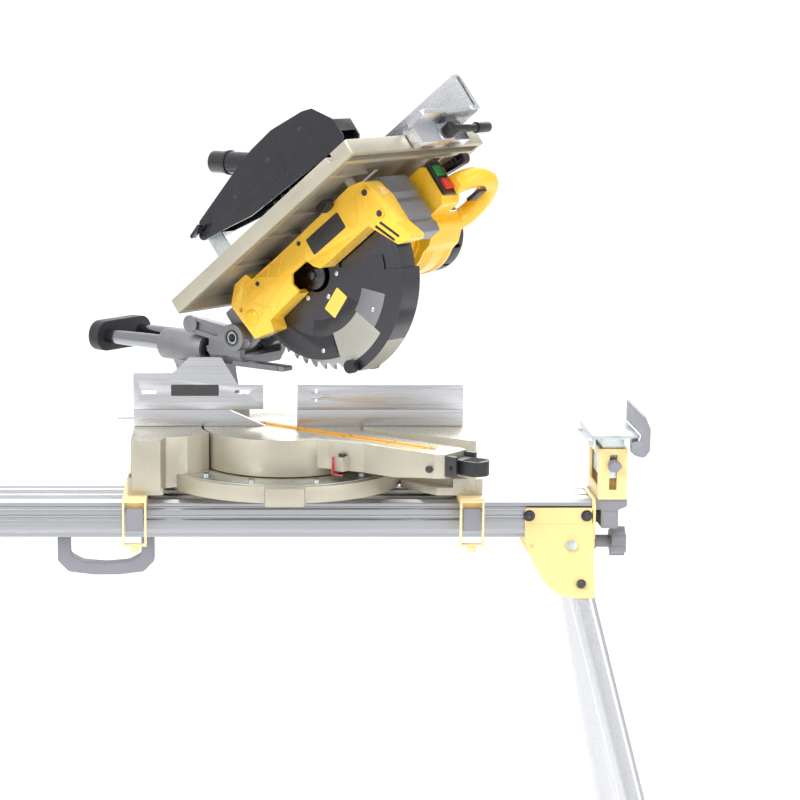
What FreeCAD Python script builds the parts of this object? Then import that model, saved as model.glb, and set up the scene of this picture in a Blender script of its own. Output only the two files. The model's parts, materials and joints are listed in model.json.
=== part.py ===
import FreeCAD, Part
import math
import os
import re

# Sliding mitre saw with a bench table on its head, mounted on a folding beam stand.
# The origin is on the floor under the middle of the beam: X along the beam, Y to the back, Z up.
# Saw pieces are drawn in the saw's own frame (u along the cutting line, t to the operator's right,
# w up from the table top), which the turntable and head placements turn into the row frame.

Vector = FreeCAD.Vector
Rotation = FreeCAD.Rotation
Placement = FreeCAD.Placement

DIMENSIONS = {
    "beam_length": 1524, "beam_width": 112, "beam_top": 813, "beam_bottom": 758,
    "keel_width": 66, "keel_bottom": 747, "beam_wall": 3,
    "arm_tube": 43, "arm_length": 1420, "handle_length": 154, "handle_drop": 66,
    "plate_thickness": 3, "bracket_length": 106, "leg_pivot_x": 729, "leg_pivot_y": 54,
    "leg_pivot_z": 736, "leg_width": 38, "leg_depth": 29, "leg_lean": 12.26, "leg_splay": 21,
    "leg_run": 822, "fold_lift": 5,
    "post_length": 44, "post_width": 110, "post_bottom": 813, "post_top": 893,
    "support_top": 918, "saw_x": 280, "saw_y": 40, "table_top": 912, "foot_bottom": 825,
    "bracket_left": 49.5, "bracket_right": 570, "bracket_width": 37,
    "ring_radius": 190, "ring_height": 25, "disc_radius": 125, "disc_height": 57.5,
    "arm_half": 34, "arm_reach": 335, "mitre_angle": 50, "slot_half": 4,
    "fence_height": 67, "fence_depth": 12, "rail_radius": 12, "rail_spread": 40, "rail_height": 119,
    "pivot_u": -48, "pivot_w": 145, "head_angle": 37.8, "blade_u": 124, "blade_w": 146,
    "blade_radius": 150, "blade_half": 1.3, "guard_radius": 160, "motor_u": 222, "motor_w": 142,
    "motor_radius": 62, "bench_top": 224, "bench_rear": -46, "bench_front": 382,
    "bench_left": -160, "bench_right": 175, "bench_skirt": 24, "running_gap": 0.05,
}

doc = FreeCAD.newDocument("mitre_saw_on_stand")
sheet = doc.addObject("Spreadsheet::Sheet", "Dims")
for row, (alias, number) in enumerate(DIMENSIONS.items(), 1):
    sheet.set(f"A{row}", alias)
    sheet.set(f"B{row}", str(number))
    sheet.setAlias(f"B{row}", alias)
doc.recompute()
nodes = []


# ---------------------------------------------------------------- helpers

def dim(alias):
    """A driving dimension, read back from the sheet."""
    return float(sheet.get(alias))


def linked(text):
    """An expression in which each alias points at the sheet."""
    def point(match):
        word = match.group(0)
        return f"Dims.{word}" if word in DIMENSIONS else word
    return re.sub(r"[a-z_]+", point, text)


def bind(obj, prop, size):
    """Set a property to a number, or bind it to an expression of aliases."""
    if isinstance(size, str):
        obj.setExpression(prop, linked(size))
    else:
        setattr(obj, prop, size)


def span(low, high):
    if isinstance(low, str) or isinstance(high, str):
        return f"({high}) - ({low})"
    return high - low


def seat(obj, point, rotation=Rotation()):
    """Place an object at a point whose coordinates are numbers or expressions."""
    fixed = [0.0 if isinstance(c, str) else float(c) for c in point]
    obj.Placement = Placement(Vector(*fixed), rotation)
    for key, coordinate in zip("xyz", point):
        if isinstance(coordinate, str):
            obj.setExpression(f"Placement.Base.{key}", linked(coordinate))


def box(x, y, z):
    obj = doc.addObject("Part::Box", "Block")
    for side, (low, high) in zip(("Length", "Width", "Height"), (x, y, z)):
        bind(obj, side, span(low, high))
    seat(obj, (x[0], y[0], z[0]))
    return obj


AXES = {"x": Vector(1, 0, 0), "y": Vector(0, 1, 0), "z": Vector(0, 0, 1)}


def along(axis):
    direction = AXES[axis] if isinstance(axis, str) else Vector(*axis)
    return Rotation(Vector(0, 0, 1), direction)


def rod(axis, start, radius, length):
    obj = doc.addObject("Part::Cylinder", "Rod")
    bind(obj, "Radius", radius)
    bind(obj, "Height", length)
    seat(obj, start, along(axis))
    return obj


def cone(axis, start, radius_low, radius_high, length):
    obj = doc.addObject("Part::Cone", "Cone")
    bind(obj, "Radius1", radius_low)
    bind(obj, "Radius2", radius_high)
    bind(obj, "Height", length)
    seat(obj, start, along(axis))
    return obj


def rounded_edges(points):
    """Edges of a closed outline; a third number at a point rounds that corner."""
    flat = [Vector(p[0], p[1], 0) for p in points]
    cuts = []
    for i, point in enumerate(points):
        corner = flat[i]
        radius = point[2] if len(point) > 2 else 0
        if not radius:
            cuts.append((corner, None, corner))
            continue
        back = (flat[i - 1] - corner).normalize()
        ahead = (flat[(i + 1) % len(flat)] - corner).normalize()
        half = back.getAngle(ahead) / 2
        reach = radius / math.tan(half)
        middle = (back + ahead).normalize()
        top = corner + middle * (radius / math.sin(half) - radius)
        cuts.append((corner + back * reach, top, corner + ahead * reach))
    edges = []
    for i, (enter, top, leave) in enumerate(cuts):
        if top is not None:
            edges.append(Part.Arc(enter, top, leave))
        following = cuts[(i + 1) % len(cuts)][0]
        if (following - leave).Length > 1e-6:
            edges.append(Part.LineSegment(leave, following))
    return edges


PLANES = {
    "xy": (Rotation(), Vector(0, 0, 1)),
    "xz": (Rotation(Vector(1, 0, 0), 90), Vector(0, 1, 0)),
    "yz": (Rotation(Vector(1, 1, 1), 120), Vector(1, 0, 0)),
}


def plate(plane, points, low, high):
    """An outline in a plane, extruded along its normal from low to high."""
    rotation, normal = PLANES[plane]
    sketch = doc.addObject("Sketcher::SketchObject", "Outline")
    sketch.addGeometry(rounded_edges(points), False)
    start = [0, 0, 0]
    start["xyz".index({"xy": "z", "xz": "y", "yz": "x"}[plane])] = low
    seat(sketch, start, rotation)
    obj = doc.addObject("Part::Extrusion", "Plate")
    obj.Base = sketch
    obj.DirMode = "Custom"
    obj.Dir = normal
    obj.Solid = True
    bind(obj, "LengthFwd", span(low, high))
    return obj


def turned(axis, at, profile):
    """A solid of revolution: profile points are (radius, distance along the axis)."""
    sketch = doc.addObject("Sketcher::SketchObject", "Profile")
    sketch.addGeometry(rounded_edges(profile), False)
    seat(sketch, (0, 0, 0), PLANES["xz"][0])
    obj = doc.addObject("Part::Revolution", "Turned")
    obj.Source = sketch
    obj.Axis = Vector(0, 0, 1)
    obj.Base = Vector(0, 0, 0)
    obj.Angle = 360
    obj.Solid = True
    seat(obj, at, along(axis))
    return obj


def body(name, plane, points, low, high, pockets=()):
    """A PartDesign body: a padded sketch, with pockets (outline, depth) cut from its low side."""
    role = {"xy": "XY_Plane", "xz": "XZ_Plane", "yz": "YZ_Plane"}[plane]
    solid = doc.addObject("PartDesign::Body", name)
    origin = [f for f in solid.Origin.OriginFeatures if f.Role == role][0]
    toward = -1 if plane == "xz" else 1

    def sketch_on_plane(label, outline):
        sketch = solid.newObject("Sketcher::SketchObject", label)
        sketch.AttachmentSupport = [(origin, "")]
        sketch.MapMode = "FlatFace"
        sketch.addGeometry(rounded_edges(outline), False)
        if isinstance(low, str):
            sketch.setExpression("AttachmentOffset.Base.z", linked(f"{toward} * ({low})"))
        else:
            sketch.AttachmentOffset = Placement(Vector(0, 0, toward * low), Rotation())
        return sketch

    pad = solid.newObject("PartDesign::Pad", f"{name}_pad")
    pad.Profile = sketch_on_plane(f"{name}_sketch", points)
    bind(pad, "Length", span(low, high))
    pad.Reversed = toward < 0
    doc.recompute()
    for i, (outline, depth) in enumerate(pockets):
        volume = solid.Shape.Volume
        pocket = solid.newObject("PartDesign::Pocket", f"{name}_pocket_{i}")
        pocket.Profile = sketch_on_plane(f"{name}_pocket_sketch_{i}", outline)
        bind(pocket, "Length", depth)
        pocket.Reversed = toward > 0
        doc.recompute()
        if solid.Shape.Volume >= volume:
            raise ValueError(f"{name}: pocket {i} cuts nothing")
    return solid


def fuse(*parts):
    obj = doc.addObject("Part::MultiFuse", "Fuse")
    obj.Shapes = list(parts)
    obj.Refine = True
    return obj


def cut(base, *tools):
    obj = base
    for tool in tools:
        step = doc.addObject("Part::Cut", "Cut")
        step.Base = obj
        step.Tool = tool
        step.Refine = True
        obj = step
    return obj


def common(first, second):
    obj = doc.addObject("Part::Common", "Common")
    obj.Base = first
    obj.Tool = second
    return obj


def group(*parts):
    obj = doc.addObject("Part::Compound", "Group")
    obj.Links = list(parts)
    return obj


def node(name, obj, frame=None):
    """Name a finished sub-part and put it in its frame."""
    obj.Label = name
    if frame is not None:
        obj.Placement = frame.multiply(obj.Placement)
    nodes.append(obj)
    return obj


def mirrored_x(points):
    return [(-p[0],) + tuple(p[1:]) for p in reversed(points)]


def hexagon(axis, at, across, height):
    """A hexagon head, by its width across flats."""
    radius = across / math.sqrt(3)
    points = [(radius * math.cos(math.radians(60 * i)), radius * math.sin(math.radians(60 * i)))
              for i in range(6)]
    obj = plate("xy", points, 0, height)
    obj = group(obj)
    seat(obj, at, along(axis))
    return obj


# ---------------------------------------------------------------- frames

saw_frame = Placement(Vector(dim("saw_x"), dim("saw_y"), dim("table_top")), Rotation())
turn_frame = saw_frame.multiply(
    Placement(Vector(), Rotation(Vector(0, 0, 1), dim("mitre_angle") - 90)))
head_pivot = Vector(dim("pivot_u"), 0, dim("pivot_w"))
head_frame = turn_frame.multiply(
    Placement(Vector(), Rotation(Vector(0, 1, 0), -dim("head_angle")), head_pivot))

BEND_Z = 775
LOCK_REACH = 61.5
RAIL_SIDES = (-dim("rail_spread"), dim("rail_spread"))
BUTTON_T = (68, 88)
BUTTON_W = (145.5, 170.5)
BUTTON_HEIGHT = 19
GUARD_HINGE = (dim("blade_u") - 155, 333)


def leg_lever():
    """Distance down a bracket's splayed plate from its bend to the leg pivot."""
    splay = math.radians(dim("leg_splay"))
    drop = BEND_Z - dim("leg_pivot_z")
    return drop * math.cos(splay) - (dim("beam_width") / 2 - dim("leg_pivot_y")) * math.sin(splay)


def leg_plate_gap():
    """Distance from a leg's middle plane to the inner face of its bracket plate."""
    splay = math.radians(dim("leg_splay"))
    drop = BEND_Z - dim("leg_pivot_z")
    return drop * math.sin(splay) + (dim("beam_width") / 2 - dim("leg_pivot_y")) * math.cos(splay)


# ---------------------------------------------------------------- stand

def main_beam():
    """Extruded aluminium beam: ridged faces, two arm channels and a keel."""
    side = [(33, 747, 3), (33, 758), (50, 758, 3), (56, 765, 2), (56, 780, 1),
            (53, 782), (53, 787), (56, 789, 1), (56, 797, 1), (53.5, 799), (53.5, 801),
            (56, 803, 1), (56, 807, 3), (50, 813, 3), (30, 813, 1), (28, 811), (14, 811), (12, 813, 1)]
    outline = side + mirrored_x(side)
    outer = body("Beam", "yz", outline, "-beam_length / 2", "beam_length / 2")
    channels = [box(("-beam_length / 2 - 1", "beam_length / 2 + 1"), (low, low + 46), (762, 808))
                for low in (2, -48)]
    keel = box(("-beam_length / 2 - 1", "beam_length / 2 + 1"), (-29, 29), (750.5, 758))
    return node("main_beam", cut(outer, *channels, keel))


def leg_bracket(side, name):
    """Pressed plates either side of the beam, splayed with the legs, and the end casting."""
    splay = math.radians(dim("leg_splay"))
    lean = math.radians(dim("leg_lean"))
    pivot_x = dim("leg_pivot_x")
    lever = leg_lever()
    parts = []
    for face in (-1, 1):
        inner = face * dim("beam_width") / 2
        upper = [(657.5, BEND_Z), (764, BEND_Z), (764, 800, 4), (657.5, 800, 6)]
        panel = plate("xz", upper, min(inner, inner + 3 * face), max(inner, inner + 3 * face))
        corner = (BEND_Z - 665) / math.cos(splay)
        lower = [(657.5, 0), (657.5, -28, 30), (668, -62, 60), (700, -corner, 60),
                 (764, -corner, 5), (764, 0)]
        wing = group(plate("xz", lower, min(0, 3 * face), max(0, 3 * face)))
        hole = rod("y", (pivot_x, -10, -lever), "4 + running_gap", 20)
        lock = rod("y", (pivot_x + LOCK_REACH * math.sin(lean), -10, -lever - LOCK_REACH * math.cos(lean)),
                   "4 + running_gap", 20)
        stow = rod("y", (pivot_x - LOCK_REACH, -10, -lever), "4 + running_gap", 20)
        holes = group(hole, lock, stow)
        for piece in (wing, holes):
            seat(piece, (0, inner, BEND_Z), Rotation(Vector(1, 0, 0), face * dim("leg_splay")))
        parts.append(cut(fuse(panel, wing), holes))
    casting = plate("yz", [(-59, 752, 4), (-59, 800, 8), (-52, 813.5, 6), (52, 813.5, 6), (59, 800, 8),
                           (59, 752, 4), (34, 741, 4), (26, 716, 8), (-26, 716, 8), (-34, 741, 4)],
                    "beam_length / 2 + 0.5", "beam_length / 2 + 6")
    boss = cone("x", (dim("beam_length") / 2 + 6, 0, 734), 17, 13, 7)
    openings = [box((760, 770), (low, low + 45), (762.5, 807.5)) for low in (2.5, -47.5)]
    bore = rod("x", (760, 0, 734), "6 + running_gap", 20)
    parts.append(cut(fuse(casting, boss), *openings, bore))
    obj = group(*parts)
    if side < 0:
        obj.Placement = Placement(Vector(), Rotation(Vector(0, 0, 1), 180))
    return node(name, obj)


def stand_bolts():
    """Cap-head bolts of the leg brackets, and the sprung lock pins that hold the legs open."""
    lean = math.radians(dim("leg_lean"))
    lever = leg_lever()
    gap = leg_plate_gap()
    pieces = []
    for side in (-1, 1):
        for face in (-1, 1):
            for x in (664, 754):
                pieces.append(rod("y", (side * x, 59.2 if face > 0 else -65.2, 788), 6.5, 6))
            x = side * (dim("leg_pivot_x") + LOCK_REACH * math.sin(lean))
            depth = -lever - LOCK_REACH * math.cos(lean)
            shank = rod((0, face, 0), (x, -0.3 * face, depth), 4, 3.5)
            head = rod((0, face, 0), (x, 3.2 * face, depth), 7, 7)
            pin = group(fuse(shank, head))
            seat(pin, (0, face * dim("beam_width") / 2, BEND_Z),
                 Rotation(Vector(1, 0, 0), face * dim("leg_splay")))
            pieces.append(pin)
    if gap < dim("leg_depth") / 2 + 0.5:
        raise ValueError("the legs rub on their bracket plates")
    return node("bracket_bolts", group(*pieces))


def carry_handle():
    """Moulded carry handle under the middle of the beam."""
    outer = [(-77, 746.6), (-77, 704, 8), (-60, 686, 12), (-20, 681, 30), (20, 681, 30), (60, 686, 12),
             (77, 704, 8), (77, 746.6), (56, 746.6), (56, 714, 8), (36, 703, 20), (0, 700, 60),
             (-36, 703, 20), (-56, 714, 8), (-56, 746.6)]
    return node("carry_handle", plate("xz", outer, -12, 12))


def leg(side, face, name):
    """Oval leg tube with its pivot bolt and rubber foot, drawn hanging from its pivot."""
    half_w = dim("leg_width") / 2
    half_d = dim("leg_depth") / 2
    run = dim("leg_run")
    gap = leg_plate_gap()
    oval = [(-half_w, -half_d, 12), (half_w, -half_d, 12), (half_w, half_d, 12), (-half_w, half_d, 12)]
    inner = [(-half_w + 2, -half_d + 2, 10), (half_w - 2, -half_d + 2, 10),
             (half_w - 2, half_d - 2, 10), (-half_w + 2, half_d - 2, 10)]
    tube = cut(plate("xy", oval, -run + 30, 0), plate("xy", inner, -run + 29, -25))
    knuckle = rod("y", (0, -half_d, 0), "leg_width / 2", "leg_depth")
    foot_oval = [(-half_w - 3, -half_d - 3, 13), (half_w + 3, -half_d - 3, 13),
                 (half_w + 3, half_d + 3, 13), (-half_w - 3, half_d + 3, 13)]
    foot = plate("xy", foot_oval, -run - 25, -run + 30)
    shank = rod((0, face, 0), (0, face * half_d - face, 0), 4, gap - half_d + 5)
    head = rod((0, face, 0), (0, face * (gap + 3.3), 0), 8.5, 6)
    pieces = group(fuse(tube, knuckle, shank, head), foot)
    lean = Rotation(Vector(0, 1, 0), -side * dim("leg_lean"))
    splay = Rotation(Vector(1, 0, 0), face * dim("leg_splay"))
    pivot = Vector(side * dim("leg_pivot_x"), face * dim("leg_pivot_y"), dim("leg_pivot_z"))
    pieces.Placement = Placement(pivot, splay.multiply(lean))
    floor = box((-1200, 1200), (-800, 800), (-200, 0))
    return node(name, cut(pieces, floor))


def mirrored_frame(side):
    """The left end is the right end turned half round about the vertical."""
    return Placement(Vector(), Rotation(Vector(0, 0, 1), 0 if side > 0 else 180))


def end_support(side, suffix):
    """Extension arm, work support post, height-adjusted plate, end stop and knobs of one end."""
    frame = mirrored_frame(side)
    tube = box(("768 - arm_length", 780), (3.5, "3.5 + arm_tube"), (763.5, "763.5 + arm_tube"))
    hollow = box(("767 - arm_length", 765), (6.5, "0.5 + arm_tube"), (766.5, "760.5 + arm_tube"))
    block = plate("xz", [(769, 795), (778, 795), (778, 765, 3), (805, 765, 3), (805, 795), (818, 800, 3),
                         (818, 813), (769, 813)], -48, 48)
    node(f"extension_arm_{suffix}", fuse(cut(tube, hollow), block), frame)

    shell = plate("xz", [(772, 813), (816, 813), (816, 893), (772, 893)], -55, 55)
    cavity = box((776, 812), (-51, 51), (816, 894))
    window = box((770, 777), (-40, 40), (830, 880))
    slot = plate("xz", [(788, 828, 2), (800, 828, 2), (800, 884, 2), (788, 884, 2)], -60, -50)
    node(f"support_post_{suffix}", cut(shell, cavity, window, slot), frame)

    deck = plate("yz", [(-75, 912), (-75, 918), (62, 918), (62, 912), (50, 912), (50, 846), (-50, 846),
                        (-50, 912)], 777, 811)
    flange = box((758, 830), (-75, 62), (914, 918))
    curb = box((758, 762), (-75, 62), (898, 918))
    screws = [rod("x", (753, y, 906), 4, 5) for y in (-62, 48)]
    bore = rod("y", (794, -60, 868), "4 + running_gap", 30)
    lug = box((818, 829), (-70, -60), (890, 914))
    lug_bore = rod("y", (823.5, -80, 899), "3 + running_gap", 30)
    hollowed = cut(fuse(deck, flange, curb, lug, *screws), bore, lug_bore,
                   box((781, 807), (-46, 46), (845, 908)))
    node(f"support_plate_{suffix}", hollowed, frame)

    cap = plate("xz", [(817, 890, 8), (836, 884, 8), (845, 896, 6), (845, 930, 4), (836, 950, 3),
                       (832, 950), (832, 917, 2), (830, 910), (817, 908, 4)], -84.5, -75.4)
    stop = plate("yz", [(-75.4, 919), (62, 919), (62, 951, 3), (-75.4, 951, 3)], 832, 836)
    pin = rod("y", (823.5, -84, 899), 3, 25)
    node(f"swing_stop_{suffix}", fuse(cap, stop, pin), frame)

    lobes = [rod("x", (800.7, 17 * math.cos(a), 734 + 17 * math.sin(a)), 7, 22.7)
             for a in [math.radians(60 * i + 30) for i in range(6)]]
    knob = fuse(rod("x", (800.7, 0, 734), 20, 22.7), rod("x", (777, 0, 734), 10, 24),
                rod("x", (764, 0, 734), 6, 14), rod("x", (775.5, 0, 734), 13, 1.6), *lobes)
    node(f"arm_lock_knob_{suffix}", knob, frame)

    wing = plate("xz", [(781, 862, 4), (797, 860, 4), (807, 872, 4), (791, 876, 4)], -76, -61)
    stud = rod("y", (794, -62, 868), 4, 15)
    washer = rod("y", (794, -61, 868), 9, 5)
    node(f"height_knob_{suffix}", fuse(wing, stud, washer), frame)


def saw_brackets():
    """Steel cross brackets that clamp over the beam, with the bolts that hold the saw's feet."""
    parts = []
    for suffix, centre in (("left", dim("bracket_left")), ("right", dim("bracket_right"))):
        low, high = centre - dim("bracket_width") / 2, centre + dim("bracket_width") / 2
        rail = fuse(box((low, high), (-106, 180), (822, 825)),
                    *[box((x, x + 3), (-106, 180), (813.6, 825)) for x in (low, high - 3)])
        loop = cut(box((low, high), (-108, -96), (750, 822)),
                   box((low + 3, high - 3), (-109, -95), (753, 819)))
        keeper = box((low, high), (57, 60), (790, 822))
        pin_bore = rod("x", (low - 1, -101, 806), "2.5 + running_gap", 40)
        tongue = box((low + 6, high - 6), (-96, -62), (800, 822))
        bolt_holes = [rod("z", (centre, y, 797), 4.1, 32) for y in (-58, 158)]
        parts.append(cut(fuse(rail, loop, keeper, tongue), pin_bore, *bolt_holes))
        for y in (-58, 158):
            parts.append(fuse(rod("z", (centre, y, 816), 4, 36), rod("z", (centre, y, 851.2), 9, 2),
                              rod("z", (centre, y, 853), 6.5, 6)))
        parts.append(fuse(rod("z", (centre, -102, 741), 7, 8.4), rod("z", (centre, -102, 749), 4, 0.8)))
        grip = plate("yz", [(-106, 773, 3), (-104.5, 806), (-104, 809.5, 3), (-98, 809.5, 3), (-97.6, 800),
                            (-99, 773, 3)], low + 5, high - 5)
        pin = rod("x", (low, -101, 806), 2.5, "bracket_width")
        node(f"bracket_lever_{suffix}", fuse(grip, pin))
    node("saw_brackets", group(*parts))


# ---------------------------------------------------------------- saw base

def base_casting():
    """Cast base: ring under the turntable, two table wings, foot rails and a front lug."""
    ring = rod("z", (0, 0, -85), "ring_radius", "ring_height")
    under = rod("z", (0, 0, -86), "ring_radius - 8", 20)
    left = plate("xy", [(-236, -124, 4), (-190, -124, 4), (-184, -98, 6), (-150, -86, 6), (-128, -68, 4),
                        (-90, -30), (-90, 4), (-145, 50), (-236, 50, 3)], -80, 0)
    right = plate("xy", [(100, 10), (124, -8), (288, -124, 3), (297, -124, 3), (297, 50, 3), (136, 50),
                         (100, 24)], -80, 0)
    gap = rod("z", (0, 0, -60), "disc_radius + 4", 70)
    rails = [plate("xy", [(-242, -121, 5), (-186, -121, 5), (-186, 141, 5), (-242, 141, 5)], -87, -75),
             plate("xy", [(186, -60), (237, -121, 5), (308, -121, 5), (308, 141, 5), (237, 141, 5),
                          (186, 90)], -87, -75)]
    pads = [box((x, x + 46), (y, y + 46), (-87, -61)) for x in (-242, 262) for y in (-121, 95)]
    lug = plate("xy", [(-30, -203, 4), (30, -203, 4), (34, -160), (-34, -160)], -87, -60)
    bolt_holes = [rod("z", (x, y, -90), 4.1, 40) for x in (-230.5, 290) for y in (-98, 118)]
    bolt_wells = [rod("z", (x, -98, -61), 12, 46) for x in (-230.5, 290)]
    hollows = [box((-230, -165), (-60, 36), (-81, -8)), box((165, 290), (-20, 36), (-81, -8))]
    hub = rod("z", (0, 0, -66), 15, 4)
    pivot = rod("z", (0, 0, -66), "15 - running_gap", 30)
    shape = cut(fuse(cut(fuse(ring, lug, left, right, *rails, *pads), under, *hollows), hub), gap,
                *bolt_holes, *bolt_wells)
    return node("base_casting", fuse(shape, pivot), saw_frame)


def mitre_scale():
    """Steel scale plate round the front of the ring, with its screws."""
    band = cut(rod("z", (0, 0, -60), 178, 1.2), rod("z", (0, 0, -61), 146, 4),
               box((-200, 200), (-48, 200), (-62, -50)), box((-200, -126), (-92, 0), (-62, -50)))
    screws = []
    for angle in (-138, -108, -72, -42):
        x = 162 * math.cos(math.radians(angle))
        y = 162 * math.sin(math.radians(angle))
        screws.append(rod("z", (x, y, -58.8), 5, 4.5))
    return node("mitre_scale", group(band, *screws), saw_frame)


def fences():
    """Fixed lower fence, sliding left and right fences."""
    lower_left = plate("xz", [(-237, 0.6), (-27, 0.6), (-85, 26.7), (-237, 26.7)], 0, 10)
    lower_right = plate("xz", [(24, 0.6), (288, 0.6), (288, 26.7), (24, 26.7)], 0, 10)
    web_left = fuse(box((-236, -140), (10, 40), (0.6, 8)), box((-236, -228), (10, 36), (0.6, 26)))
    web_right = fuse(box((140, 288), (10, 40), (0.6, 8)), box((278, 288), (10, 36), (0.6, 26)))
    bridge = plate("xz", [(24, 0.6), (24, 26.7), (40, 26.7), (40, 0.6)], 10, 20)
    stop_rod = rod("x", (-262, 5, 14), 4, 25)
    node("fixed_fence", group(fuse(lower_left, web_left, stop_rod), fuse(lower_right, web_right, bridge)),
         saw_frame)

    high = [(-237, 27.2), (-237, 84.5, 2), (-175, 84.5, 6), (-148, 111, 4), (-97, 111, 4), (-71, 66, 3),
            (-30, 66, 2), (-30, 27.2)]
    slots = [plate("xz", [(x, 51, 3), (x + 24, 51, 3), (x + 24, 58, 3), (x, 58, 3)], -1, 12)
             for x in (-224, -76)]
    panel = cut(plate("xz", high, 0, 6), *slots)
    foot = box((-225, -150), (6, 9.5), (27.2, 40))
    node("left_sliding_fence", fuse(panel, foot), saw_frame)

    slider = cut(plate("xz", [(24, 27.2), (288, 27.2), (288, 67, 2), (24, 67, 2)], 0, 8),
                 box((52, 56), (-1, 9), (40, 60)))
    clamp = fuse(box((46, 62), (-3, -0.0), (44, 54)), box((62, 78), (-1.5, -0.0), (47, 51)))
    node("right_sliding_fence", fuse(slider, clamp), saw_frame)


def turntable():
    """Rotating table disc with its arm, kerf slot and rear bevel flange."""
    disc = rod("z", (0, 0, "-disc_height"), "disc_radius", "disc_height")
    arm = plate("xy", [(90, -62), (128, -48, 20), (190, -36, 20), (320, -34, 6), (335, -28, 6),
                       (335, 28, 6), (320, 34, 6), (190, 36, 20), (128, 48, 20), (90, 62)], -45, 0)
    taper = plate("xz", [(215, -60), (345, -60), (345, -36), (300, -39), (240, -46)], -50, 50)
    flange = common(rod("x", (-130, 0, 0), 54, 18), box((-131, -100), (-60, 60), (-50, 36)))
    neck = box((-130, -90), (-40, 40), (-50, -6))
    slot = box((-62, 298), ("-slot_half", "slot_half"), (-20, 1))
    seats = box((-58, 294), (-15, 15), (-3, 1))
    hollow = cut(rod("z", (0, 0, -58), 112, 46), rod("z", (0, 0, -59), 24, 48))
    arm_hollow = box((120, 318), (-24, 24), (-50, -12))
    pin_bore = rod("x", (-140, 0, 0), "rail_radius", 40)
    centre_bore = rod("z", (0, 0, -60), 15, 26)
    boss = box((148, 166), (-58, -40), (-44, -22))
    shape = cut(fuse(disc, arm, neck, flange, boss), taper, slot, seats, hollow, arm_hollow, pin_bore,
                centre_bore)
    return node("turntable", shape, turn_frame)


def kerf_plates():
    """Two plastic strips either side of the blade slot."""
    strips = [box((-57, 293), (low, low + 10.5), (-3, 0)) for low in (-14.5, 4)]
    extra = box((212, 292), (-32, -27), (0, 0.6))
    return node("kerf_plates", group(*strips, extra), turn_frame)


def turntable_fittings():
    """Red scale pointer with its screw, the arm's end bolt and the cheeks that hold the mitre handle."""
    pointer = fuse(box((147, 149), (-62, -58), (-50, -22)), box((147, 166), (-62, -58), (-50, -48)))
    screw = rod("z", (157, -49, -22), 5, 5)
    bolt = hexagon((0, -1, 0), (312, -34.3, -24), 10, 5)
    bores = rod("y", (346, -40, -19), "3 + running_gap", 80)
    cheeks = [cut(box((335, 354), (low, low + 6), (-34, -2)), bores) for low in (-28, 22)]
    return node("turntable_fittings", group(pointer, screw, bolt, *cheeks), turn_frame)


def mitre_handle():
    """Mitre lock grip at the arm's end, which lifts to free the turntable."""
    grip = plate("xy", [(340, -14, 6), (352, -17, 8), (384, -20, 12), (392, 0, 12), (384, 20, 12),
                        (352, 17, 8), (340, 14, 6)], -30, -8)
    pin = rod("y", (346, -26, -19), 3, 52)
    return node("mitre_handle", fuse(grip, pin), turn_frame)


def bevel_housing():
    """Tilting rear casting with the two rail bearings."""
    post = plate("yz", [(-50, -40, 12), (50, -40, 12), (52, 30, 10), (40, 80, 20), (58, 108, 12), (48, 140, 12),
                        (-48, 140, 12), (-58, 108, 12), (-40, 80, 20), (-52, 30, 10)], -187, -131)
    barrels = [rod("x", (-209, t, "rail_height"), 25, 90) for t in (-40, 40)]
    bores = [rod("x", (-215, t, "rail_height"), "rail_radius + running_gap", 120) for t in (-40, 40)]
    pin = rod("x", (-131, 0, 0), "rail_radius - running_gap", 28)
    window = plate("yz", [(-26, 30, 6), (26, 30, 6), (18, 82, 6), (-18, 82, 6)], -190, -128)
    lever_bore = rod("x", (-200, 0, 0), 6.1, 60)
    shape = cut(fuse(cut(fuse(post, *barrels), *bores, window), pin), lever_bore)
    return node("bevel_housing", shape, turn_frame)


def bevel_lever():
    """Lever behind the tilting housing that locks the bevel."""
    hub = rod("x", (-208, 0, 0), 15, 20)
    shank = rod("x", (-190, 0, 0), 6, 50)
    arm = rod((0, -1, 0), (-199, 0, 0), 7, 58)
    grip = rod((0, -1, 0), (-199, -52, 0), 9, 32)
    return node("bevel_lever", fuse(hub, shank, arm, grip), turn_frame)


def slide_rails():
    """The two rails and the cap that ties their rear ends."""
    rods = [rod("x", (-340, t, "rail_height"), "rail_radius", 264) for t in RAIL_SIDES]
    cap = plate("yz", [(-66, 94, 24), (66, 94, 24), (66, 144, 24), (-66, 144, 24)], -361, -340)
    recess = plate("yz", [(-15, 102, 4), (15, 102, 4), (15, 136, 4), (-15, 136, 4)], -362, -356)
    return node("slide_rails", group(*rods, cut(cap, recess)), turn_frame)


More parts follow.
